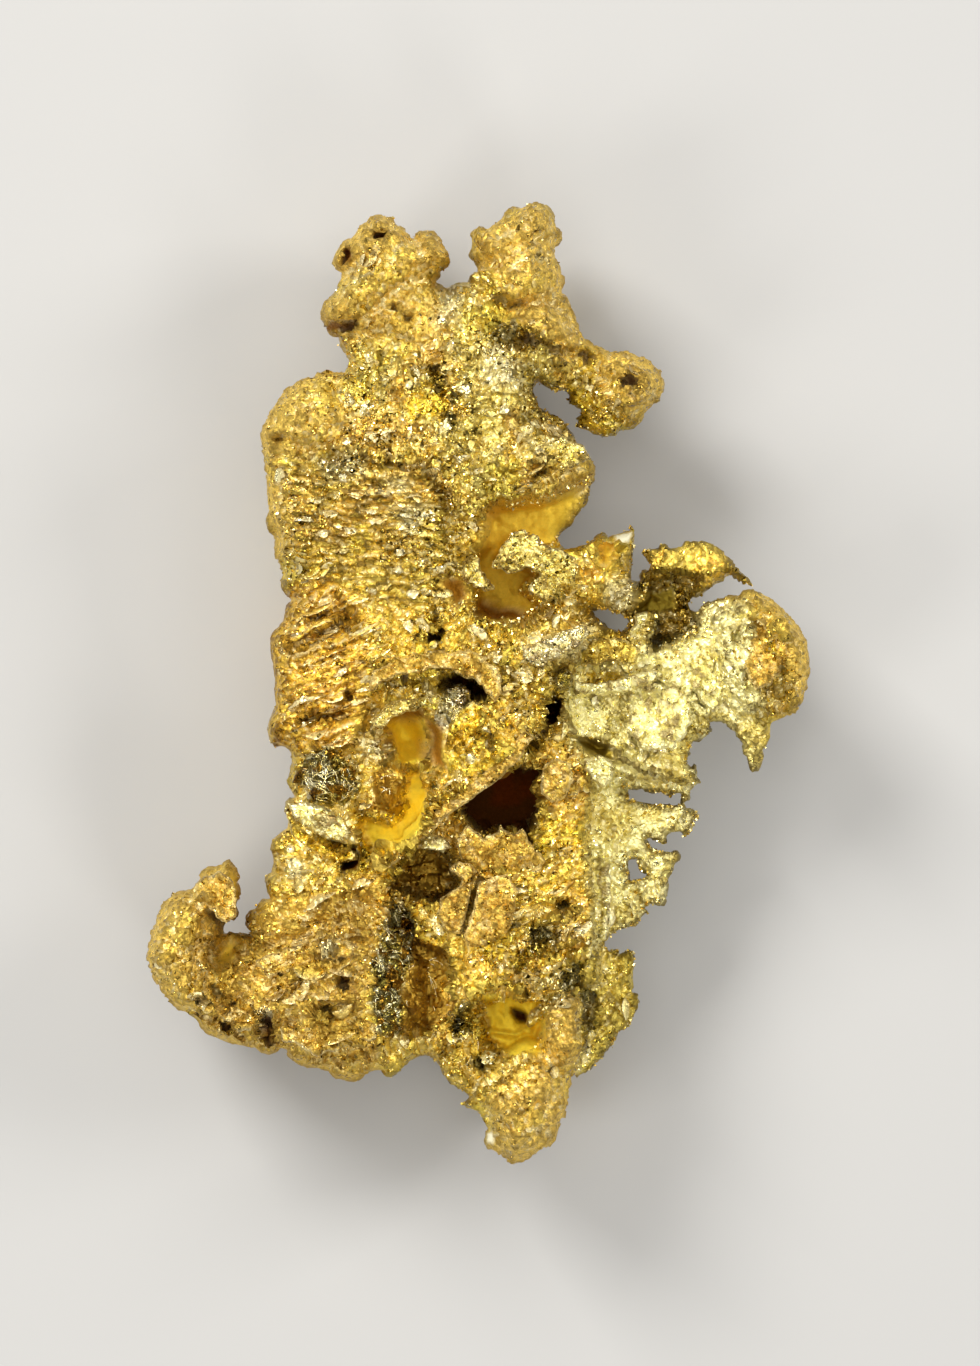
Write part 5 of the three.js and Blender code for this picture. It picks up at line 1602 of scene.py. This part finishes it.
# %% Sheets of the leaves
def along_path(path, spacing):
    """Points at even steps along a path of straight stretches."""
    path = np.asarray(path, dtype=float)
    lengths = np.linalg.norm(np.diff(path, axis=0), axis=1)
    travelled = np.concatenate([[0], np.cumsum(lengths)])
    stops = np.arange(0, travelled[-1], spacing)
    return np.stack([np.interp(stops, travelled, path[:, axis]) for axis in (0, 1)], axis=1)


def ragged_outline(outline, amount):
    """A closed outline in short steps, each moved in or out by noise at two sizes."""
    path = along_path(np.vstack([outline, outline[:1]]), RAG_STEP)
    ahead = np.roll(path, -1, axis=0) - np.roll(path, 1, axis=0)
    outward = np.stack([ahead[:, 1], -ahead[:, 0]], axis=1) / np.linalg.norm(ahead, axis=1)[:, None]
    flat = np.column_stack([path, np.zeros(len(path))])
    return path + amount * layered(smooth_noise, flat, RAGS)[:, None] * outward


def leaf_sheet(form):
    """One leaf as a closed sheet: the level goes from root to free edge with a bulge, the rim is round."""
    cut = cut_net(ragged_outline(form["outline"], form["ragged"]), [], LEAF_NET)
    _, _, net_x, net_y, edge_depth, quads, quads_round = cut
    used = quads_round > 0
    x, y = net_x[used], net_y[used]
    deep = np.where(quads_round[used] < 4, 0, np.maximum(edge_depth[used], LEAST_DEPTH * LEAF_NET))
    span = form["free"] - form["root"]
    t = ((x - form["root"][0]) * span[0] + (y - form["root"][1]) * span[1]) / (span @ span)
    t = np.clip(t, 0, 1)
    low, high = form["levels"]
    level = low + (high - low) * t + form["bulge"] * 4 * t * (1 - t)
    rounding = LEAF_HALF * np.sqrt(1 - (1 - np.clip(deep / LEAF_EDGE, 0, 1)) ** 2)
    top, bottom = (level + rounding) * PX_PER_MM, (level - rounding) * PX_PER_MM
    sheet, sheet_faces = sewn(x, y, top, bottom, quads, quads_round)
    return sheet, sheet_faces, np.concatenate([deep, deep[quads_round[used] == 4]])


made = [leaf_sheet(form) for form in LEAF_FORMS]
counts = [len(sheet) for sheet, _, _ in made]
starts = np.cumsum([0] + counts)
leaf_points = np.vstack([sheet for sheet, _, _ in made])
leaf_faces = np.vstack([sheet_faces + start for (_, sheet_faces, _), start in zip(made, starts)])
leaf_deep = np.concatenate([deep for _, _, deep in made])
print(len(leaf_points), "points in the leaves")

# %% Finish of the leaves, with painted highlights and painted shade
LEAF_FLAKES = ((0.5, 11, 170), (0.5, 5, 171))
LEAF_BUMPS = ((1.5, 16, 172),)
LEAF_CREST = (0.5, 2.5)
SMOOTH_RIM = 5
HIGHLIGHT_RIM = 4
EDGE_HIGHLIGHT = 0.4
EDGE_SHADE = 0.6

leaf_tint = np.repeat([FINISHES[form["kind"]]["colour"] for form in LEAF_FORMS], counts, axis=0)
leaf_marks = np.repeat([FINISHES[form["kind"]]["marks"] for form in LEAF_FORMS], counts, axis=0)
leaf_rough = layered(flakes, leaf_points, LEAF_FLAKES) + layered(smooth_noise, leaf_points, LEAF_BUMPS)
lifted = leaf_rough * smoothstep(0, SMOOTH_RIM, leaf_deep)
leaf_skin = leaf_points + normals_of(leaf_points, leaf_faces) * lifted[:, None]
# Painted highlight on the rims and raised grains of the leaves, painted shade in their dips.
bright = np.maximum(smoothstep(*LEAF_CREST, leaf_rough), smoothstep(HIGHLIGHT_RIM, 0, leaf_deep))
leaf_tint = toward(leaf_tint, CREST_HIGHLIGHT_COLOUR, EDGE_HIGHLIGHT * bright)
leaf_tint = toward(leaf_tint, CREVICE_SHADE_COLOUR, EDGE_SHADE * smoothstep(*LEAF_CREST, -leaf_rough))
leaf_kept = {"tint": leaf_tint, "metal": np.ones(len(leaf_points))}
leaf_kept.update(zip(("roughness", "grain", "sparkle"), leaf_marks.T))
mesh_piece("leaves", leaf_skin, leaf_faces, NATIVE_GOLD, False, leaf_kept)

# %% [markdown]
# Between the leaves the gold is crumpled into small scales that overlap like bark or foil. They are
# hundreds, so each is a strip of a few faces: bent along its length, sunk along one side and lifted along
# the other. In the rows of the slab and in the bark they follow the growth lines, and elsewhere they lie
# as they fell.

# %% Where the scales lie
SCALES = 1500
WANTED = {"hackly": 1.0, "tan": 1.0, "bark": 1.2, "leaves": 0.5, "frosted": 0.4}
FLIPPED = 0.3
LENGTHS = (0.6, 1.5)
WIDTHS = (0.7, 1.4)
MOST_BOW = 0.2
random = np.random.default_rng(12)

zones = {
    "tan": tan,
    "leaves": leaves,
    "banded": banded,
    "bark": bark * hackly + share_of["bark"],
    "slab": slab * hackly,
}
weights = {**share_of, "hackly": hackly, "leaves": leaves}
wanted = is_front * sum(amount * weights[name] for name, amount in WANTED.items())
chosen = random.choice(len(skin), SCALES, replace=False, p=wanted / wanted.sum())


def by_zone(default, **values):
    """A value for each chosen scale: the default, or the value of the zone that it lies in."""
    result = np.full(len(chosen), float(default))
    for zone, value in values.items():
        result = np.where(zones[zone][chosen] > 0.5, value, result)
    return result


lines = by_zone(0, tan=-12, leaves=80, banded=-28, bark=-20, slab=3)
spread = by_zone(90, tan=30, leaves=30, banded=14, bark=12, slab=12)
turn = lines + spread * random.uniform(-1, 1, SCALES)
turn = np.radians(turn + 180 * (random.uniform(0, 1, SCALES) < FLIPPED))
length = by_zone(13, tan=28, leaves=18, banded=22, bark=24, slab=15) * random.uniform(*LENGTHS, SCALES)
width = by_zone(3.6, tan=5.5, leaves=3.0, banded=3.4, bark=3.2, slab=3.0) * random.uniform(*WIDTHS, SCALES)
bow = length * random.uniform(-MOST_BOW, MOST_BOW, SCALES)
print("scales are", round(float(length.mean() / PX_PER_MM), 2), "mm long on average")

# %% Shape of the scales
SCALE_ALONG = 9
SCALE_ACROSS = 5
SCALE_THICKNESS = 6.0
SCALE_CLIMB = 24
SCALE_INSET = 3
SCALE_TAPER = 0.9
WOBBLE_X = ((1.3, 4.5, 180),)
WOBBLE_Y = ((1.3, 4.5, 181),)
CRUMPLE = ((0.9, 6, 182),)
LIFT_BY_WIDTH = 0.6
LEAST_LIFT = 1.5
LIFT_ACROSS = 0.6
LIFT_ALL = 0.1

v, u = np.meshgrid(np.linspace(-1, 1, SCALE_ACROSS), np.linspace(-1, 1, SCALE_ALONG), indexing="ij")
turn, length, width, bow = (values[:, None, None] for values in (turn, length, width, bow))
along = length / 2 * u
across = bow * (1 - u**2) + width * v * np.sqrt(1 - SCALE_TAPER * u**2)
scale_x = px[chosen][:, None, None] + np.cos(turn) * along - np.sin(turn) * across
scale_y = py[chosen][:, None, None] + np.sin(turn) * along + np.cos(turn) * across
flat = np.stack([scale_x.ravel(), scale_y.ravel(), np.zeros(scale_x.size)], axis=1)
scale_x += layered(smooth_noise, flat, WOBBLE_X).reshape(scale_x.shape)
scale_y += layered(smooth_noise, flat, WOBBLE_Y).reshape(scale_y.shape)
ground = ground_at(scale_x, scale_y)
lift = (LIFT_BY_WIDTH * width + LEAST_LIFT) * (LIFT_ACROSS * v + LIFT_ALL)
crumple = layered(smooth_noise, flat, CRUMPLE).reshape(scale_x.shape)
scale_z = ground + rough[chosen][:, None, None] + lift + crumple
inside = sampled(edge_depth, scale_x, scale_y).min(axis=(1, 2)) > SCALE_INSET
even = ground.max(axis=(1, 2)) - ground.min(axis=(1, 2)) < SCALE_CLIMB
whole = inside & even
print(int(whole.sum()), "scales lie whole on even ground")

# %% Mesh of the scales
LIT_SIDE = (0.2, 1)
SHADED_SIDE = (-0.2, -1)

corner_count = np.full((SCALE_ACROSS, SCALE_ALONG), 4)
corner_count[[0, -1], :] = 2
corner_count[:, [0, -1]] = 2
all_quads = np.ones((SCALE_ACROSS - 1, SCALE_ALONG - 1), dtype=bool)
one_scale, scale_quads = sewn(u.ravel(), v.ravel(), u.ravel(), v.ravel(), all_quads, corner_count)
tops = np.stack([scale_x, scale_y, scale_z], axis=3)[whole].reshape(int(whole.sum()), -1, 3)
bottoms = tops - np.array([0, 0, SCALE_THICKNESS])
scale_points = np.concatenate([tops, bottoms[:, (corner_count == 4).ravel()]], axis=1)
scale_faces = scale_quads[None] + (np.arange(len(tops)) * len(one_scale))[:, None, None]
side = np.concatenate([v.ravel(), v[corner_count == 4]])
scale_tint = tint[chosen[whole]][:, None, :] * np.ones((1, len(one_scale), 1))
# Painted highlight on the lifted side of each scale, painted shade on its sunk side.
scale_tint = toward(scale_tint, CREST_HIGHLIGHT_COLOUR, EDGE_HIGHLIGHT * smoothstep(*LIT_SIDE, side))
scale_tint = toward(scale_tint, CREVICE_SHADE_COLOUR, EDGE_SHADE * smoothstep(*SHADED_SIDE, side))
scale_kept = {"tint": scale_tint.reshape(-1, 3), "metal": np.ones(scale_tint.size // 3)}
for name, values in (("roughness", roughness), ("grain", grain), ("sparkle", sparkle)):
    scale_kept[name] = np.repeat(values[chosen[whole]], len(one_scale))
mesh_piece("scales", scale_points.reshape(-1, 3), scale_faces.reshape(-1, 4), NATIVE_GOLD, False, scale_kept)

# %% [markdown]
# The sparkle of the hackly faces comes from thousands of tiny octahedra, the shape that gold crystals take.
# They are scattered over the skin in one go: one octahedron, turned, scaled and sunk for each place.

# %% Octahedral crystals
CRYSTALS = 3000
CRYSTAL_SIZE = (0.9, 2.6)
CRYSTAL_STRETCH = (0.6, 1.3)
CRYSTAL_JITTER = 1.2
CRYSTAL_SINK = 0.2
LEAF_CHANCE = 0.5
OCTAHEDRON = np.array([(1, 0, 0), (-1, 0, 0), (0, 1, 0), (0, -1, 0), (0, 0, 1), (0, 0, -1)], dtype=float)
OCTAHEDRON_FACES = np.array([
    (0, 2, 4), (2, 1, 4), (1, 3, 4), (3, 0, 4), (2, 0, 5), (1, 2, 5), (3, 1, 5), (0, 3, 5)])


def random_turns(count):
    """Rotation matrices for random unit quaternions."""
    quaternions = random.normal(size=(count, 4))
    w, a, b, c = (quaternions / np.linalg.norm(quaternions, axis=1)[:, None]).T
    return np.stack([
        np.stack([1 - 2 * (b * b + c * c), 2 * (a * b - c * w), 2 * (a * c + b * w)], axis=1),
        np.stack([2 * (a * b + c * w), 1 - 2 * (a * a + c * c), 2 * (b * c - a * w)], axis=1),
        np.stack([2 * (a * c - b * w), 2 * (b * c + a * w), 1 - 2 * (a * a + b * b)], axis=1),
    ], axis=1)


def scatter_crystals(centres, sizes):
    """One octahedron for each centre, stretched and turned its own way, as points and faces."""
    stretch = random.uniform(*CRYSTAL_STRETCH, (len(centres), 1, 3))
    shapes = OCTAHEDRON[None] * stretch * sizes[:, None, None]
    spun = np.einsum("nij,nkj->nki", random_turns(len(centres)), shapes)
    corners = (spun + centres[:, None, :]).reshape(-1, 3)
    first = np.arange(len(centres))[:, None, None] * len(OCTAHEDRON)
    return corners, (OCTAHEDRON_FACES[None, :, ::-1] + first).reshape(-1, 3)


def crystal_material(name, dark, bright, roughness):
    """Bright gold for single crystals: a smooth mirror whose colour changes from crystal to crystal."""
    material, tree, shader = new_material(name)
    shader.inputs["Metallic"].default_value = 1.0
    shader.inputs["Roughness"].default_value = roughness
    chance = facets(tree, COARSE_CELLS)["Chance"]
    colour = mixed(tree, chance, (*linear(*dark), 1), (*linear(*bright), 1))
    fed(tree, shader, "Base Color", colour)
    return material


BRIGHT_GOLD = crystal_material("crystal gold", (205, 170, 72), (255, 240, 170), 0.2)
sparkling = share_of["hackly"] + share_of["pale"] + LEAF_CHANCE * leaves + share_of["painted highlight"]
chance = is_front * sparkling * patches**2
chosen = random.choice(len(skin), CRYSTALS, p=chance / chance.sum())
jitter = random.uniform(-CRYSTAL_JITTER, CRYSTAL_JITTER, (CRYSTALS, 3))
sizes = random.uniform(0, 1, CRYSTALS) ** 2 * (CRYSTAL_SIZE[1] - CRYSTAL_SIZE[0]) + CRYSTAL_SIZE[0]
centres = skin[chosen] + jitter - skin_normals[chosen] * (CRYSTAL_SINK * sizes)[:, None]
mesh_piece("crystals", *scatter_crystals(centres, sizes), BRIGHT_GOLD, False)

# %% [markdown]
# The edges of the leaves and the rims of the hollows are frilled with grains. They sit on the upper side of
# the step, so each grain takes the highest level of the ground in a small circle round its place.

# %% Frilled edges
GRAIN_SPACING = 1.3
GRAIN_SIZE = (0.9, 2.5)
GRAIN_JITTER = 1.4
GRAIN_SINK = 4
CLUSTERS = ((1, 16, 150),)
LEAST_CLUSTER = -0.15
RIM_REACH = 4
RIM_STEPS = 8
RIM_PATHS = {
    "recess": LAYERS["yellow recess"]["edge"],
    "island": LAYERS["frilled island"]["edge"],
    "cup": LAYERS["hollow of the tip"]["edge"],
    "wing edge": WING_EDGE,
    "gap by the box": GAP_BY_BOX,
    "gap under the lip": GAP_UNDER_LIP,
    "gap in the leaf": GAP_IN_LEAF,
    "tongue": [(628, 632), (634, 620), (644, 614), (651, 622), (652, 640), (660, 648), (680, 640),
               (697, 626)],
}

spots = np.vstack([along_path(path, GRAIN_SPACING) for path in RIM_PATHS.values()])
spots += random.normal(0, GRAIN_JITTER, spots.shape)
angles = np.linspace(0, 2 * np.pi, RIM_STEPS, endpoint=False)
tops = np.full(len(spots), -np.inf)
solid_depth = sampled(edge_depth, spots[:, 0], spots[:, 1])
for angle in angles:
    round_x = spots[:, 0] + RIM_REACH * np.cos(angle)
    round_y = spots[:, 1] + RIM_REACH * np.sin(angle)
    ground = np.where(sampled(edge_depth, round_x, round_y) > 0, ground_at(round_x, round_y), -np.inf)
    tops = np.maximum(tops, ground)
flat = np.column_stack([spots, np.zeros(len(spots))])
clustered = layered(smooth_noise, flat, CLUSTERS) > LEAST_CLUSTER
on_gold = (solid_depth > 0) & np.isfinite(tops) & clustered
heights = tops - random.uniform(0, GRAIN_SINK, len(spots))
grain_centres = np.column_stack([spots, heights])[on_gold]
grain_sizes = random.uniform(*GRAIN_SIZE, len(grain_centres))
mesh_piece("frills", *scatter_crystals(grain_centres, grain_sizes), BRIGHT_GOLD, False)

# %% [markdown]
# Fine wires of gold lie over two of the domes and over the dark mirror. A wire is a small ring carried along
# a bent path that follows the ground a little above it.

# %% Wires
WIRE_STEPS = 9
WIRE_SIDES = 4
WIRE_RADIUS = 0.36
WIRE_LENGTH = (9, 26)
WIRE_LIFT = 0.8
WIRE_INSET = 5
WIRE_BOW = 0.3
NEST_FILL = 0.95
NEST_REACH = 1.1
WIRE_NESTS = [
    ((331, 777), (33, 34), 100), ((392, 962), (22, 70), 80), ((456, 704), (13, 17), 36),
    ((385, 790), (17, 22), 10),
    ((540, 945), (36, 40), 30), ((430, 975), (18, 36), 14), ((455, 1045), (30, 42), 20),
]


def wire_paths(middle, radii, count):
    """Bent paths over an ellipse: a straight line through it, bowed by a parabola, set on the ground."""
    angle = random.uniform(0, 2 * np.pi, count)
    away = np.sqrt(random.uniform(0, 1, count))
    start = middle + NEST_FILL * radii * (away * np.array([np.cos(angle), np.sin(angle)])).T
    heading = random.uniform(0, 2 * np.pi, count)
    length = random.uniform(*WIRE_LENGTH, count)
    bow = length * random.uniform(-WIRE_BOW, WIRE_BOW, count)
    t = np.linspace(-0.5, 0.5, WIRE_STEPS)
    forward = np.stack([np.cos(heading), np.sin(heading)], axis=1)
    sideways = np.stack([-forward[:, 1], forward[:, 0]], axis=1)
    flat = (
        start[:, None, :]
        + (length[:, None] * t)[:, :, None] * forward[:, None, :]
        + (bow[:, None] * (1 - 4 * t**2))[:, :, None] * sideways[:, None, :]
    )
    within = (((flat - middle) / radii) ** 2).sum(axis=2).max(axis=1) < NEST_REACH
    within &= sampled(edge_depth, flat[..., 0], flat[..., 1]).min(axis=1) > WIRE_INSET
    flat = flat[within]
    return np.concatenate([flat, (ground_at(flat[..., 0], flat[..., 1]) + WIRE_LIFT)[..., None]], axis=2)


nests = [wire_paths(np.array(middle), np.array(radii), count) for middle, radii, count in WIRE_NESTS]
print(sum(len(nest) for nest in nests), "wires")


# %% Tubes round the wires
def tubes(paths, radius):
    """Round wires: rings square to each path, and a point closing each end."""
    count, steps, _ = paths.shape
    along = np.gradient(paths, axis=1)
    along /= np.maximum(np.linalg.norm(along, axis=2), TINY)[..., None]
    side = np.cross(along, (0, 0, 1))
    side /= np.maximum(np.linalg.norm(side, axis=2), TINY)[..., None]
    up = np.cross(side, along)
    turn = 2 * np.pi * np.arange(WIRE_SIDES) / WIRE_SIDES
    offsets = np.cos(turn)[:, None] * side[:, :, None, :] + np.sin(turn)[:, None] * up[:, :, None, :]
    rings = (paths[:, :, None, :] + radius * offsets).reshape(count, -1, 3)
    points = np.concatenate([rings, paths[:, :1], paths[:, -1:]], axis=1)
    k = np.arange(WIRE_SIDES)
    after = (k + 1) % WIRE_SIDES
    s = np.arange(steps - 1)[:, None] * WIRE_SIDES
    a, b, c, d = (np.broadcast_to(v, (steps - 1, WIRE_SIDES)).ravel()
                  for v in (s + k, s + after, s + after + WIRE_SIDES, s + k + WIRE_SIDES))
    first, last = steps * WIRE_SIDES, steps * WIRE_SIDES + 1
    end = (steps - 1) * WIRE_SIDES
    triangles = np.vstack([
        np.stack([a, b, c], axis=1), np.stack([a, c, d], axis=1),
        np.stack([after, k, np.full(WIRE_SIDES, first)], axis=1),
        np.stack([end + k, end + after, np.full(WIRE_SIDES, last)], axis=1),
    ])
    shifts = np.arange(count)[:, None, None] * points.shape[1]
    return points.reshape(-1, 3), (triangles[None] + shifts).reshape(-1, 3)


WIRE_GOLD = crystal_material("wire gold", (250, 232, 150), (255, 252, 225), 0.25)
mesh_piece("wires", *tubes(np.concatenate(nests), WIRE_RADIUS), WIRE_GOLD, True)

# %% [markdown]
# The floor is a plain pale sheet. The light is a dim even room with a large soft panel overhead and small
# bright boxes round it. Metal shows what is round it: the panel lights the flats, the boxes make the glints
# on leaning facets, and the dim room between them leaves the rest dark, which is what makes gold sparkle.

# %% Floor, light and camera
FLOOR_SIZE = 3.0
LENS = 200
SENSOR = 36
AIM_HEIGHT = 6
FLOOR_COLOUR = linear(172, 170, 166)
FLOOR_ROUGHNESS = 0.8
ROOM_LIGHT = 0.32
BOXES = {
    "overhead": ((0.0, 0.06, 0.62), 0.46, 1.2),
    "key": ((-0.28, 0.32, 0.36), 0.22, 3.2),
    "right": ((0.42, 0.14, 0.3), 0.18, 1.5),
    "low left": ((-0.32, -0.2, 0.34), 0.16, 0.8),
    "low right": ((0.2, -0.36, 0.36), 0.14, 0.6),
}


def floor_piece():
    """A square pale floor through the lowest point of the piece."""
    half = FLOOR_SIZE / 2
    mesh = bpy.data.meshes.new("floor")
    corners = [(-half, -half, 0), (half, -half, 0), (half, half, 0), (-half, half, 0)]
    mesh.from_pydata(corners, [], [(0, 1, 2, 3)])
    material, _, shader = new_material("pale floor")
    shader.inputs["Base Color"].default_value = (*FLOOR_COLOUR, 1)
    shader.inputs["Roughness"].default_value = FLOOR_ROUGHNESS
    mesh.materials.append(material)
    floor = bpy.data.objects.new("floor", mesh)
    bpy.context.scene.collection.objects.link(floor)


def soft_box(name, place, size, watts):
    """A square area light at a place in metres, facing the middle of the piece."""
    data = bpy.data.lights.new(name, "AREA")
    data.size = size
    data.energy = watts
    light = bpy.data.objects.new(name, data)
    light.location = place
    to_piece = Vector((0, 0, HIGH[2] / 2)) - light.location
    light.rotation_euler = to_piece.to_track_quat("-Z", "Y").to_euler()
    light.visible_camera = False
    bpy.context.scene.collection.objects.link(light)


floor_piece()
for name, (place, size, watts) in BOXES.items():
    soft_box(name, place, size, watts)
world = bpy.data.worlds.new("room")
world.use_nodes = True
world.node_tree.nodes["Background"].inputs["Color"].default_value = (1, 1, 1, 1)
world.node_tree.nodes["Background"].inputs["Strength"].default_value = ROOM_LIGHT
bpy.context.scene.world = world
bpy.context.scene.view_settings.view_transform = "Standard"

camera_data = bpy.data.cameras.new("camera")
camera_data.sensor_fit = "VERTICAL"
camera_data.sensor_height = SENSOR
camera_data.lens = LENS
camera = bpy.data.objects.new("camera", camera_data)
image_middle = to_metres(np.array([[IMAGE_COLUMNS / 2, IMAGE_ROWS / 2, AIM_HEIGHT * PX_PER_MM]]))[0]
reach = IMAGE_ROWS * METRES_PER_PX / 2 * LENS / (SENSOR / 2)
camera.location = image_middle + np.array([0, 0, reach])
bpy.context.scene.collection.objects.link(camera)
bpy.context.scene.camera = camera
print("camera at", np.round(camera.location, 3))
